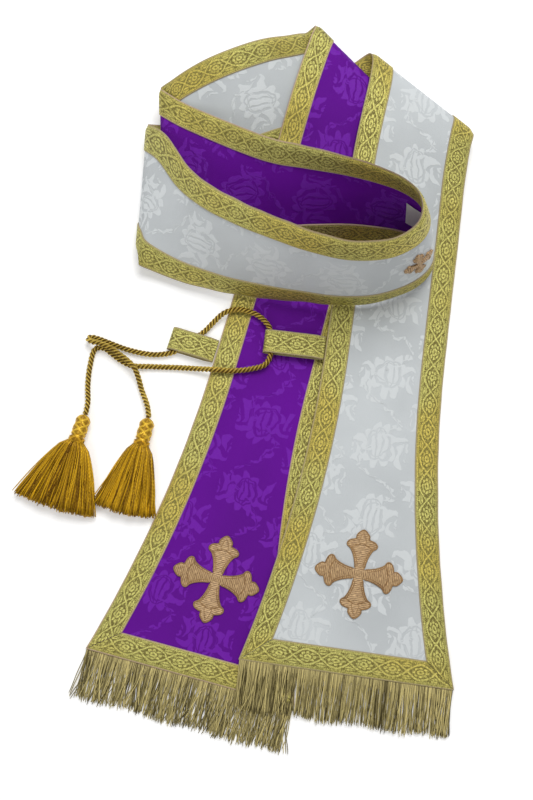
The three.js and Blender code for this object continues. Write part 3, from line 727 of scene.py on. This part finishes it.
def cloth_knots():
    """Rows of middle point and line across, and which of them is the neck."""
    knots, neck = [], 0
    for k, row in enumerate(ROUTE):
        if k == NECK_ROW:
            neck = len(knots)
        if len(row) > 5:
            knots += list(crease(row, np.array(ROUTE[k - 1][:3]), np.array(ROUTE[k + 1][:3])))
        else:
            knots.append(np.append(row[:3], direction(row[3], row[4])))
    return np.array(knots, float), neck


KNOTS, NECK = cloth_knots()
print("stations given:", len(KNOTS))

# %% [markdown]
# Between the given places the cloth is sampled about every 3 mm and at every 10 degrees of a crease. At
# each sample the tangent, the line across it within the cloth and the normal make a small frame.
# The cloth is not stiff, so it also ripples by a fraction of a millimetre, most along its edges,
# where the galloon was sewn on a little tight; ripples die out where the cloth turns sharply.

# %% Stations
def smooth(value):
    """0 below 0, 1 above 1, eased between."""
    value = np.clip(value, 0, 1)
    return value * value * (3 - 2 * value)


SPACING = 3.2
# At lengths along the cloth, over how many millimetres the given places are blended.
BLEND = [(0, 14), (500, 9), (535, 2.2), (575, 8), (700, 8), (733, 1.4), (765, 8), (880, 9),
         (1180, 9), (1290, 9), (1345, 9), (1380, 9), (1470, 12), (1590, 6), (1622, 3.6), (1660, 8),
         (1760, 16), (2200, 16)]


def blended(values, travelled, widths):
    """Each row becomes the bell-weighted mean of its neighbours along the cloth."""
    gap = (travelled[:, None] - travelled[None, :]) / widths[:, None]
    spacing = np.gradient(travelled)
    weight = np.exp(-0.5 * gap**2) * spacing[None, :]
    mirrored = weight @ values / weight.sum(axis=1, keepdims=True)
    near_end = np.minimum(travelled, travelled[-1] - travelled) / (3 * widths)
    share = smooth(near_end)[:, None]
    return values * (1 - share) + mirrored * share


def fine_stations():
    last = len(KNOTS) - 1
    spans = np.linalg.norm(np.diff(KNOTS[:, :3], axis=0), axis=1)
    steps = np.maximum(np.ceil(spans / SPACING).astype(int), 3)
    params = np.concatenate([(k + np.arange(n) / n) / last for k, n in enumerate(steps)] + [[1.0]])
    centre = smooth_curve(KNOTS[:, :3], params)
    across = unit(smooth_curve(KNOTS[:, 3:], params))
    travelled = np.append(0, np.cumsum(np.linalg.norm(np.diff(centre, axis=0), axis=1)))
    widths = np.interp(travelled, *np.array(BLEND, float).T)
    centre = blended(centre, travelled, widths)
    across = unit(blended(across, travelled, widths))
    travelled = np.append(0, np.cumsum(np.linalg.norm(np.diff(centre, axis=0), axis=1)))
    tangent = unit(np.gradient(centre, travelled, axis=0))
    along = np.sum(across * tangent, axis=1)
    slant = (along / np.sqrt(1 - along**2))[:, None]
    slant = blended(slant, travelled, np.full(len(travelled), 9.0))[:, 0]
    bend = np.linalg.norm(np.gradient(tangent, travelled, axis=0), axis=1)
    calm = np.convolve(np.pad(np.clip(1 - bend * 25, 0, 1), 6, "edge"), np.ones(13) / 13, "valid")
    return {"u": travelled, "centre": centre, "t": tangent, "across": across,
            "slant": slant, "lift": across[:, 2], "calm": calm,
            "neck": float(travelled[int(steps[:NECK].sum())])}


CLOTH = fine_stations()
LENGTH, NECK_AT = float(CLOTH["u"][-1]), CLOTH["neck"]
print("cloth length", round(LENGTH), "mm, neck seam at", round(NECK_AT))


# %% Cloth surface
def width_at(u):
    """Narrowing straight from each end to the neck, plus a parabola that flares the ends."""
    from_end = np.maximum(np.minimum(u, LENGTH - u), 0)
    share = from_end / np.where(u < NECK_AT, NECK_AT, LENGTH - NECK_AT)
    flare = np.maximum(1 - from_end / FLARE_LENGTH, 0)
    return BODY_WIDTH + (NECK_WIDTH - BODY_WIDTH) * share + (END_WIDTH - BODY_WIDTH) * flare**2


def station(u):
    """The cloth's own frame at lengths u, between the samples beside each."""
    def pick(values):
        values = values.reshape(len(values), -1)
        columns = [np.interp(u, CLOTH["u"], values[:, k]) for k in range(values.shape[1])]
        return columns[0] if len(columns) == 1 else np.stack(columns, -1)
    tangent, across = unit(pick(CLOTH["t"])), unit(pick(CLOTH["across"]))
    return (pick(CLOTH["centre"]), tangent, across, unit(np.cross(tangent, across)),
            pick(CLOTH["slant"]), pick(CLOTH["lift"]), pick(CLOTH["calm"]))


def press(from_edge, from_end):
    """The share of its thickness that the cloth keeps near an edge, where the layers are sewn."""
    return np.minimum(0.16 + 0.84 * smooth(from_edge / 5), 0.42 + 0.58 * smooth(from_end / 5))


def on_cloth(u, v, n, ripple=1.0):
    """The point v off the middle line and n off the middle layer, at the station u.

    It goes v along the line across, which may slant, and n along the normal, less the bulge of a
    standing loop, plus ripples.
    """
    u, v, n = np.broadcast_arrays(np.asarray(u, float), np.asarray(v, float), np.asarray(n, float))
    centre, _, across, normal, slant, lift, calm = station(u)
    length = u + v * slant
    half = width_at(length) / 2
    side = np.clip(v / half, -1, 1)
    n = n * press(half - np.abs(v), np.minimum(length, LENGTH - length))
    waves = (0.22 * np.sin(length / 13.2 + 0.9) * side + 0.16 * np.sin(length / 6.5 + v / 30)
             + 0.34 * np.abs(side)**3 * np.sin(length / 5.1 + 2.0 * np.sin(length / 47) + side * 1.7)
             + 0.25 * np.abs(side)**3 * np.sin(length / 11.3 + side * 2.4))
    n = n + waves * calm * ripple - BULGE * lift**2 * (1 - side**2)
    points = centre + across * (v * np.sqrt(1 + slant**2))[..., None] + normal * n[..., None]
    points[..., 2] = np.maximum(points[..., 2], 0.05)
    return points


def across_at(u, share, inset):
    """The v at which a slanted line across reaches a share of the half width, less an inset."""
    slant = station(u)[4]
    v = 0.0
    for _ in range(6):
        v = share * (width_at(u + v * slant) / 2 - inset)
    return v

# %% [markdown]
# ## The layers
# The stole is a sandwich: purple damask, interlining, white damask, with galloon sewn on both
# faces. Each layer is a slab between two heights above the middle of the cloth. They are pressed
# thin at the edges, where they are stitched together. The two halves of each damask meet in a seam
# behind the neck.

# %% Layers
FACE_THICK, LINING_THICK, GALLOON_THICK, GAP = 0.5, 0.8, 0.7, 0.3
PURPLE_FACE = (LINING_THICK / 2 + GAP, LINING_THICK / 2 + GAP + FACE_THICK)
PURPLE_TRIM = (PURPLE_FACE[1] + 0.05, PURPLE_FACE[1] + GAP + GALLOON_THICK)
WHITE_FACE = (-PURPLE_FACE[1], -PURPLE_FACE[0])
WHITE_TRIM = (-PURPLE_TRIM[1], -PURPLE_TRIM[0])
LINING = (-LINING_THICK / 2, LINING_THICK / 2)
FACE_COLUMNS = np.sin(np.linspace(-np.pi / 2, np.pi / 2, 37) * 0.98) / math.sin(np.pi / 2 * 0.98)


def stations_between(start, stop):
    inside = CLOTH["u"][(CLOTH["u"] > start + 0.4) & (CLOTH["u"] < stop - 0.4)]
    return np.concatenate([[start], inside, [stop]])


def cloth_layer(start, stop, inset, layer, columns=FACE_COLUMNS, seam=None):
    """A slab of cloth from start to stop, its edges inset, between two heights."""
    u = stations_between(start, stop)[:, None]
    v = across_at(u, columns[None, :], inset)
    sink = 1.0 if seam is None else 1 - 0.55 * np.exp(-np.abs(u - seam) / 1.5)
    uv = np.stack(np.broadcast_arrays(u + v * station(u)[4], v), -1)
    return slab(on_cloth(u, v, layer[1] * sink), on_cloth(u, v, layer[0] * sink), uv)


SPANS = {"a": (0.4, NECK_AT - GAP / 2), "b": (NECK_AT + GAP / 2, LENGTH - 0.4)}
cloth = {}
for half, (start, stop) in SPANS.items():
    for side, layer, look in (("purple", PURPLE_FACE, PURPLE_DAMASK),
                              ("white", WHITE_FACE, WHITE_DAMASK)):
        cloth[side + half] = make_piece(
            f"{side}_damask_{half}", cloth_layer(start, stop, 0.7, layer, seam=NECK_AT), look,
            [f"{side}_face_{half}{k}" for k in range(1, 5 + (half == "b"))])

HEADING_WIDTH = 7.0
lining = {
    "a": make_piece("interlining_sheet_a", cloth_layer(HEADING_WIDTH + GAP, NECK_AT, 1.6, LINING),
                    LINEN, ["interlining_a"]),
    "b": make_piece("interlining_sheet_b",
                    cloth_layer(NECK_AT + GAP, LENGTH - HEADING_WIDTH - GAP, 1.6, LINING),
                    LINEN, ["interlining_b"]),
}

# %% [markdown]
# ## The galloon borders
# Each long edge carries one ribbon on each face from end to end, and a shorter one runs across
# each end. They meet in mitres: the long ribbon's inner edge runs out to the corner at 45 degrees,
# and the short ribbon's ends do the same. The ribbon's own edges are rounded down to the damask.

# %% Borders
RIBBON = np.array([0, 0.35, 0.9, 2, 3.5, 5.5, 8, 10.5, 13, 15.5, 17.5, 18.8, 19.5, 19.85, 20.0])
MITRE_GAP = 0.25


def crown(w):
    """Thickness share across the ribbon, rounded off at both its edges."""
    return np.sqrt(np.clip(np.minimum(w + 0.08, GALLOON_WIDTH - w + 0.08) / 0.5, 0.1, 1))


def ribbon_slab(u, v, layer, w, uv):
    """A slab whose outward face is rounded by the crown; layers under the cloth face down."""
    base, top = (layer[0], layer[1]) if layer[1] > 0 else (layer[1], layer[0])
    outer = on_cloth(u, v, base + (top - base) * crown(w))
    inner = on_cloth(u, v, np.full_like(w, base))
    return slab(outer, inner, uv) if layer[1] > 0 else slab(inner, outer, uv)


def long_border(edge, layer):
    """The ribbon along one edge: edge is -1 outer or 1 inner."""
    u = stations_between(0.0, LENGTH)
    corner = np.linspace(0, GALLOON_WIDTH, 15)[1:]
    u = np.unique(np.concatenate([u, corner, LENGTH - corner]))[:, None]
    reach = np.clip(np.minimum(u, LENGTH - u) - MITRE_GAP, 0.02, GALLOON_WIDTH)
    w = RIBBON[None, :] / GALLOON_WIDTH * reach
    order = -1 if edge > 0 else 1
    w = w[:, ::order]
    v = across_at(u, float(edge), w)
    uv = np.stack(np.broadcast_arrays(u, w), -1)
    return ribbon_slab(u, v, layer, w, uv)


def end_border(half, layer):
    """The ribbon across one end: depth from the end by rows, narrowing to the mitres."""
    depth = RIBBON[:, None]
    u = depth if half == "a" else (LENGTH - depth)[::-1]
    depth = depth if half == "a" else depth[::-1]
    share = np.linspace(-1, 1, 61)[None, :]
    v = across_at(u, share, depth + MITRE_GAP)
    uv = np.stack(np.broadcast_arrays(v, depth), -1)
    return ribbon_slab(u, v, layer, np.broadcast_to(depth, v.shape), uv)


borders = {"purple": [], "white": []}
for side, layer, look in (("purple", PURPLE_TRIM, PURPLE_GALLOON), ("white", WHITE_TRIM, WHITE_GALLOON)):
    for name, edge in (("outer", -1), ("inner", 1)):
        borders[side].append(make_piece(f"{side}_border_{name}", long_border(edge, layer), look,
                                        [f"{side}_galloon_{name}"]))
    for half in "ab":
        borders[side].append(make_piece(f"{side}_border_end_{half}", end_border(half, layer), look,
                                        [f"{side}_galloon_end_{half}"]))

# %% [markdown]
# ## The fringe
# Each end has a fringe 40 mm long, on a woven heading that is sewn between the layers. The threads
# are thin twisted tubes. They leave the heading almost parallel, then wander, cross and droop, and
# their lengths differ a little. All the random numbers come from one seeded source.

# %% Fringe
FRINGE_LENGTH = 40.0
FRINGE_THREADS = 620
chance = np.random.default_rng(7)


def thread_tubes(paths, radius, sides=5):
    """Thin tubes round many paths at once: paths (threads, rows, 3), radius (threads, rows)."""
    tangent = unit(np.gradient(paths, axis=1))
    side = unit(np.cross(tangent, [0.03, 0.02, 1.0]))
    up = np.cross(side, tangent)
    angle = np.linspace(0, 2 * np.pi, sides, endpoint=False)[::-1]
    rings = (paths[:, :, None] + radius[:, :, None, None]
             * (np.cos(angle)[:, None] * side[:, :, None] + np.sin(angle)[:, None] * up[:, :, None]))
    steps = np.linalg.norm(np.diff(paths, axis=1), axis=2)
    along = np.concatenate([np.zeros((len(paths), 1)), np.cumsum(steps, axis=1)], axis=1)
    along = along + chance.uniform(0, 5, (len(paths), 1))
    step = THREAD_STEP * chance.integers(0, 200, (len(paths), 1, 1))
    across = step + np.linspace(0, THREAD_STEP * 0.85, sides + 1)
    uv = np.stack(np.broadcast_arrays(along[..., None], across), -1)
    return tubes(rings, uv)


def fringe_threads(half):
    """Threads in three rows. Each wanders sideways by a slant and a curl, and droops to a floor."""
    count, rows = FRINGE_THREADS, 12
    out = -1 if half == "a" else 1
    end = 0.0 if half == "a" else LENGTH
    s = np.linspace(-0.06, 1, rows)[None, :]
    start = np.linspace(-1, 1, count) * (END_WIDTH / 2 - 1.2)
    messy = 1.0 if half == "a" else 0.55
    length = FRINGE_LENGTH * (0.93 + 0.07 * np.sin(start / 9) * chance.uniform(0, 1, count)
                              + chance.normal(0, 0.035, count))
    clump = np.sin(start / 4.3 + 3 * np.sin(start / 17)) * 1.1
    slant = (clump + chance.normal(0, 4.2, count)) * messy
    curl = chance.normal(0, 1.3, count) * messy
    phase = chance.uniform(0, 6.3, count)
    bow = np.maximum(s, 0)
    v = (start[:, None] + slant[:, None] * bow**1.5
         + curl[:, None] * np.sin(bow * 5.5 + phase[:, None]) * bow)
    layer = chance.choice([-0.9, 0.0, 0.9], count)[:, None]
    _, tangent, lateral, normal, _, _, _ = station(np.array(end))
    edge = on_cloth(end, start[:, None] + 0 * s, 0.0 * layer, ripple=0.4)
    paths = (edge + lateral * (v - start[:, None])[..., None]
             + tangent * (out * s * length[:, None])[..., None])
    height = layer * smooth(bow * 2.5) + chance.normal(0, 0.3, count)[:, None] * bow
    if half == "a":
        rest = 1.7 + height
        lift = rest - edge[..., 2]
    else:
        on_purple = smooth((paths[..., 0] - 22) / -26)
        rest = 2.2 + 2.6 * on_purple + height
        lift = (rest - edge[..., 2]) * 0.85
    paths[..., 2] += lift * smooth(bow * 1.3) + height * 0.15
    paths[..., 2] = np.maximum(paths[..., 2], 0.62)
    radius = np.full((count, rows), 0.37) * (1 - 0.35 * (s > 0.97))
    return thread_tubes(paths, radius)


for half in "ab":
    make_piece(f"fringe_threads_{half}", fringe_threads(half), FRINGE_THREAD,
               [f"fringe_{half}"])
    span = (0.6, HEADING_WIDTH) if half == "a" else (LENGTH - HEADING_WIDTH, LENGTH - 0.6)
    make_piece(f"fringe_heading_{half}", cloth_layer(*span, 1.6, LINING), LINEN,
               [f"fringe_tape_{half}"])

# %% [markdown]
# ## The crosses
# Each end has an embroidered cross on both faces. Its four arms flare to a leaf with three lobes.
# An arm is padded under its satin stitch, so it is highest along its middle; a couched cord follows
# the outline and another marks off the leaf. Every point is set on the cloth by its own distance
# along and across, so the cross bends with it.

# %% Crosses
CROSS_SPAN, CROSS_UP = 72.0, 81.0
ARM_STEPS, ARM_STITCHES = 72, 20
ARM_AT = np.array([0, 5, 9, 13, 16.5, 19, 20.6, 21.4, 22.0, 23.0, 24.6, 26.2, 27.2, 27.9, 28.5, 29.4,
                   31.0, 32.6, 34.2, 35.4, 36])
ARM_WIDE = np.array([3.9, 4.1, 4.7, 5.8, 7.2, 8.6, 9.8, 11.2, 12.0, 12.6, 12.5, 11.2, 9.3, 6.6, 5.2,
                     5.4, 5.5, 4.6, 3.1, 1.7, 0.4])


def arm_half_width(x):
    """Half the arm's width at a distance from the cross's middle, through the given places."""
    return np.interp(x, ARM_AT, ARM_WIDE)


def turned(x, y, quarter):
    """A point of the first arm on the arm that many quarter turns on."""
    c, d = [(1, 0), (0, 1), (-1, 0), (0, -1)][quarter]
    return x * c - y * d, x * d + y * c


def laid(x, y, height, at, face, scale):
    """Points of the flat cross on one face of the cloth: x along it, y across it."""
    base = {1: PURPLE_FACE[1], -1: WHITE_FACE[0]}[face]
    return on_cloth(at + x * scale, y * scale * face, base + face * height)


def cross_arms(at, face, scale, tall):
    parts = []
    x = np.linspace(0, CROSS_SPAN / 2, ARM_STEPS + 1)[:, None]
    share = np.sin(np.linspace(-np.pi / 2, np.pi / 2, ARM_STITCHES + 1))[None, :]
    for quarter in range(4):
        wide = arm_half_width(x)
        y = share * wide
        pad = np.sqrt(np.clip(1 - share**2, 0, 1))
        taper = smooth((36.2 - x) / 2.5)
        valley = 1 - 0.45 * np.exp(-((x - 22.5 - 1.6 * np.abs(share)) / 0.9)**2)
        height = (0.25 + tall * (0.45 * pad + 0.55 * pad**0.4) * (0.45 + 0.55 * taper))
        height = height * valley - (0.0 if quarter % 2 else 0.06)
        px, py = turned(x + 0 * y, y, quarter)
        top = laid(px, py, height, at, face, scale)
        low = laid(px, py, 0.05 + 0 * height, at, face, scale)
        uv = np.stack(np.broadcast_arrays(x + 0 * y, y), -1) * scale
        parts.append(slab(top, low, uv))
    return joined(parts)


def outline_cord(at, face, scale, tall, radius):
    """On each arm its outline, a chevron where its leaf begins, an arc in the leaf and two inner lines."""
    edge = np.linspace(5.2, 36, 80)
    wide = arm_half_width(edge) - 0.15
    runs = []
    for quarter in range(4):
        x = np.concatenate([edge, edge[::-1][1:]])
        y = np.concatenate([-wide, wide[::-1][1:]])
        runs.append(np.stack(turned(x, y, quarter), -1))
        across = np.linspace(-1, 1, len(x))
        leaf_x = 20.4 + 4.6 * (1 - np.abs(across)**1.2)
        runs.append(np.stack(turned(leaf_x, across * 9.4, quarter), -1))
        runs.append(np.stack(turned(24.6 + 8.6 * (1 - across**2), across * 3.2, quarter), -1))
        inner = np.linspace(6.4, 21.5, len(x))
        for way in (-1, 1):
            runs.append(np.stack(turned(inner, way * (arm_half_width(inner) - 1.9), quarter), -1))
    flat = np.array(runs)
    path = laid(flat[..., 0], flat[..., 1], tall, at, face, scale)
    return thread_tubes(path, np.full(path.shape[:2], radius), sides=6)


CROSSES = {"purple_cross_a": (CROSS_UP, 1, 1.15), "purple_cross_b": (LENGTH - CROSS_UP, 1, 0.75),
           "white_cross_a": (CROSS_UP, -1, 0.6), "white_cross_b": (LENGTH - CROSS_UP, -1, 1.15)}
for node, (at, face, tall) in CROSSES.items():
    piece = make_piece(node.replace("cross", "embroidered_cross"),
                       joined([cross_arms(at, face, 1.0, tall),
                               outline_cord(at, face, 1.0, 0.35 + 0.45 * tall, 0.55)]),
                       SATIN_STITCH, [node])
    piece.data.materials.append(COUCHED_CORD)
    arms = 4 * (ARM_STEPS * ARM_STITCHES * 2 + 2 * (ARM_STEPS + ARM_STITCHES))
    index = np.zeros(len(piece.data.polygons), int)
    index[arms:] = 1
    piece.data.polygons.foreach_set("material_index", index)

# %% [markdown]
# ## Neck cross and label
# Behind the neck a small cross marks the middle on the white side, and a blank woven label is sewn
# by its ends on the purple side, so it stands a little off the cloth between its stitches.

# %% Neck cross and label
NECK_CROSS_AT, NECK_CROSS_SCALE = 30.0, 26 / CROSS_SPAN
make_piece("neck_embroidery", joined([
    cross_arms(NECK_AT + NECK_CROSS_AT, -1, NECK_CROSS_SCALE, 2.0),
    outline_cord(NECK_AT + NECK_CROSS_AT, -1, NECK_CROSS_SCALE, 1.6, 0.4)]),
    SATIN_STITCH, ["neck_cross"])
LABEL_LENGTH, LABEL_HEIGHT, LABEL_AT = 14.0, 26.0, 4.0


def label_patch():
    u = (NECK_AT - LABEL_AT - LABEL_LENGTH * np.linspace(1, 0, 25))[:, None]
    v = (LABEL_HEIGHT * np.linspace(-0.5, 0.5, 27))[None, :]
    rise = 0.35 + 0.9 * np.sin(np.pi * np.linspace(0, 1, 25)[:, None])**0.7 + 0 * v
    uv = np.stack(np.broadcast_arrays(u, v), -1)
    return slab(on_cloth(u, v, PURPLE_FACE[1] + rise + 0.45), on_cloth(u, v, PURPLE_FACE[1] + rise), uv)


make_piece("blank_label", label_patch(), LINEN, ["neck_label"])

# %% [markdown]
# ## The keeper loops
# A keeper is a piece of galloon folded double, its two ends sewn to the stole's inner edge. Seen
# from the side it is a long flat loop that the cord can pass through. The loop's outline is a path;
# the ribbon is that path carried 20 mm along, with a wall of 0.8 mm.

# %% Keepers
CORD_ROOM, KEEPER_WALL, KEEPER_SEAT, KEEPER_SLIT, KEEPER_UP = 0.4, 0.8, 0.7, 9.0, 266.0
KEEPER_HALF = CORD_RADIUS + CORD_ROOM + KEEPER_WALL


def keeper_outline(reach, inset):
    """Out along the top from the sewn end, round the fold and back along the bottom."""
    half, tip = KEEPER_HALF - inset, reach - KEEPER_HALF
    out = np.linspace(0, tip, 40)
    rise = (KEEPER_WALL + GAP - inset * 0.9 + 0.02) * (1 - smooth(out / KEEPER_SLIT)) \
        + half * smooth(out / KEEPER_SLIT)
    turn = np.linspace(np.pi / 2, -np.pi / 2, 19)[1:-1]
    x = np.concatenate([out + inset * 0.2, tip + half * np.cos(turn), out[::-1] + inset * 0.2])
    z = np.concatenate([rise, half * np.sin(turn), -rise[::-1]])
    return x, z


def keeper_band(u, reach, height, heading):
    edge = on_cloth(u, width_at(u) / 2 + KEEPER_SEAT, 0.0, ripple=0.0)
    away, up = direction(heading), np.array([0, 0, 1.0])
    wide = np.cross(away, up)
    across = RIBBON[::2]
    across = np.linspace(0, GALLOON_WIDTH, 17)

    def sheet(inset):
        x, z = keeper_outline(reach, inset)
        sag = 0.25 * np.sin(x / 5.5) * (x > KEEPER_SLIT)
        points = (edge * [1, 1, 0] + [0, 0, height] + away * x[:, None, None]
                  + up * (z - np.abs(sag) * np.sign(z) * (inset == 0))[:, None, None]
                  + wide * (across - GALLOON_WIDTH / 2)[None, :, None])
        return points, x, z
    outer, x, z = sheet(0.0)
    inner, _, _ = sheet(KEEPER_WALL)
    run = np.append(0, np.cumsum(np.hypot(np.diff(x), np.diff(z))))
    uv = np.stack(np.broadcast_arrays(run[:, None] + 9.0, across[None, :]), -1)
    return slab(outer, inner, uv)


for half, reach, height, heading in (("a", 41.0, KEEPER_HALF, 163), ("b", 52.0, 9.7, 173)):
    at = KEEPER_UP if half == "a" else LENGTH - KEEPER_UP
    make_piece(f"keeper_ribbon_{half}", keeper_band(at, reach, height, heading), WHITE_GALLOON,
               [f"keeper_loop_{half}"])

# %% [markdown]
# ## The tassels
# A tassel is a bundle of silk threads under a bound head. The head is a turned form with a net of
# thread over it, the collar a few tight turns round its foot, and the skirt 900 threads
# that lie fanned out flat on the floor, over a smaller solid core that shuts the gaps.

# %% Tassels
HEAD_RADIUS, HEAD_LENGTH, COLLAR_LENGTH = 6.5, 25.0, 5.0
COLLAR_BORE = HEAD_RADIUS - 1
COLLAR_RADIUS = COLLAR_BORE + GAP + 1.2
SKIRT_LENGTH, SKIRT_THICK = 58.0, 11.0
SKIRT_THREADS = 900
REST_HEIGHT = COLLAR_RADIUS + GAP / 2


def tassel_frame(x, y, heading):
    """Turns tassel coordinates (side, along from the top, up) into layout points."""
    down = direction(heading)
    side = np.cross([0, 0, 1.0], down)
    place = np.array([x, y, REST_HEIGHT])
    return lambda points: (place + points[..., :1] * side + points[..., 1:2] * down
                           + points[..., 2:] * np.array([0, 0, 1.0]))


def turned_form(along, radius, frame_of, sides):
    """A closed form round the tassel's axis; radius is (rows, sides)."""
    angle = np.linspace(0, 2 * np.pi, sides, endpoint=False)
    points = np.stack(np.broadcast_arrays(radius * np.cos(angle), along[:, None], radius * np.sin(angle)), -1)
    uv = np.stack(np.broadcast_arrays(along[:, None], np.linspace(0, 2 * np.pi * HEAD_RADIUS, sides + 1)), -1)
    return tubes(frame_of(points)[None], uv[None])


def tassel_head(frame_of):
    foot = HEAD_LENGTH - HEAD_RADIUS
    dome = np.linspace(0.06, np.pi / 2, 14)
    along = np.concatenate([-HEAD_RADIUS * np.cos(dome), np.linspace(0.4, foot, 76)])
    profile = np.concatenate([HEAD_RADIUS * np.sin(dome) - 0.1, np.full(76, HEAD_RADIUS - 0.1)])
    profile = profile - (1.0 - 0.1) * smooth((along - (foot - COLLAR_LENGTH - 2.2)) / 1.2)
    profile = profile - 0.5 * np.exp(-((along - 1.5) / 1.4)**2)
    sides = 72
    angle = np.linspace(0, 2 * np.pi, sides, endpoint=False)[None, :]
    down = along[:, None]
    net = np.maximum(np.cos(4 * angle + down * 0.95), np.cos(4 * angle - down * 0.95))
    netted = smooth((down + 1) / 2) * smooth((foot - COLLAR_LENGTH - 2.5 - down) / 1.5)
    wraps = 0.12 * np.sin(down * 7.5) * (profile[:, None] > 2)
    radius = profile[:, None] + netted * (0.9 * np.maximum(net, 0.4) - 0.84) + (1 - netted) * wraps
    return turned_form(along, np.maximum(radius, 0.05), frame_of, sides)


def tassel_collar(frame_of):
    foot = HEAD_LENGTH - HEAD_RADIUS
    t = np.linspace(0, 1, 41)
    along = foot - COLLAR_LENGTH * t[::-1]
    bead = np.abs(np.sin(t * np.pi * 5))
    radius = np.where((t == 0) | (t == 1), COLLAR_BORE + 0.1, COLLAR_RADIUS - 0.55 + 0.5 * bead)
    return turned_form(along, radius[:, None] + np.zeros((1, 48)), frame_of, 48)


def tassel_skirt(frame_of, spread):
    """Threads from the collar's oval to the fan's foot, with a core of the same form inside."""
    top = HEAD_LENGTH - HEAD_RADIUS - 1.5
    count, rows = SKIRT_THREADS, 11
    ring = np.linspace(0, 2 * np.pi, count, endpoint=False) + chance.normal(0, 0.03, count)
    depth = np.sqrt(chance.uniform(0.62, 1, count))
    s = np.linspace(0, 1, rows)[None, :]
    wide = COLLAR_RADIUS - 0.6 + (spread / 2 - COLLAR_RADIUS) * s**0.6
    thick = (COLLAR_RADIUS - 0.6) * (1 - s) + SKIRT_THICK / 2 * s
    stray = chance.normal(0, 1.5, (count, 1)) * s**1.6
    side = np.cos(ring)[:, None] * wide * depth[:, None]**0.5 + stray * 1.3
    side = side + (0.9 * np.sin(ring[:, None] * 11 + s * 5) + 0.7 * np.sin(ring[:, None] * 23 - s * 4)) * s
    high = np.sin(ring)[:, None] * thick * depth[:, None]
    reach = SKIRT_LENGTH * (1 - 0.05 * (np.cos(ring)[:, None])**2) + chance.normal(0, 1.1, (count, 1))
    drop = (REST_HEIGHT - SKIRT_THICK / 2 - 0.3) * s
    along = top + reach * s
    points = np.stack([side, along, high - drop], -1)
    points[..., 2] = np.maximum(points[..., 2], 0.55 - REST_HEIGHT)
    radius = 0.38 + 0.1 * s - 0.2 * (s > 0.95) + 0 * side
    silk = thread_tubes(frame_of(points), radius, sides=4)
    core_s = np.linspace(0.02, 0.965, 30)
    angle = np.linspace(0, 2 * np.pi, 40, endpoint=False)[None, :]
    core_wide = (COLLAR_RADIUS - 1.4 + (spread / 2 - COLLAR_RADIUS - 1) * core_s**0.6)[:, None]
    core_thick = ((COLLAR_RADIUS - 1.4) * (1 - core_s) + (SKIRT_THICK / 2 - 1.2) * core_s)[:, None]
    core = np.stack(np.broadcast_arrays(
        core_wide * np.cos(angle), (top + SKIRT_LENGTH * 0.94 * core_s)[:, None],
        core_thick * np.sin(angle) - ((REST_HEIGHT - SKIRT_THICK / 2 - 0.3) * core_s)[:, None]), -1)
    uv = np.stack(np.broadcast_arrays(core_s[:, None] * SKIRT_LENGTH, np.linspace(0, 60, 41)), -1)
    return joined([silk, tubes(frame_of(core)[None], uv[None])])


for half, x, y, heading, spread in (("a", -154.5, -20.5, 253, 66), ("b", -100.8, -23.6, 256, 49)):
    frame_of = tassel_frame(x, y, heading)
    for part, shape, look, slot in (
            ("head", tassel_head(frame_of), HEAD_SILK, "silk_gold"),
            ("collar", tassel_collar(frame_of), HEAD_SILK, "cord_gold"),
            ("skirt", tassel_skirt(frame_of, spread), SILK_GOLD, "silk_gold")):
        make_piece(f"tassel_{half}_{part}_threads", shape, look,
                                  [f"tassel_{half}_{part}"], body=f"tassel_{half}")

# %% [markdown]
# ## The flat size of the cut
# The area under the width curve is the cut's flat area. It is worked out for each half, with the
# half's length, and not used further.

# %% Flat size of the cut
for half, (start, stop) in SPANS.items():
    u = np.linspace(start, stop, 400)
    area = float(np.mean(width_at(u)) * (stop - start)) * MM * MM
    for side in ("purple", "white"):
        cloth[side + half]
        (stop - start) * MM
    (stop - start) * MM
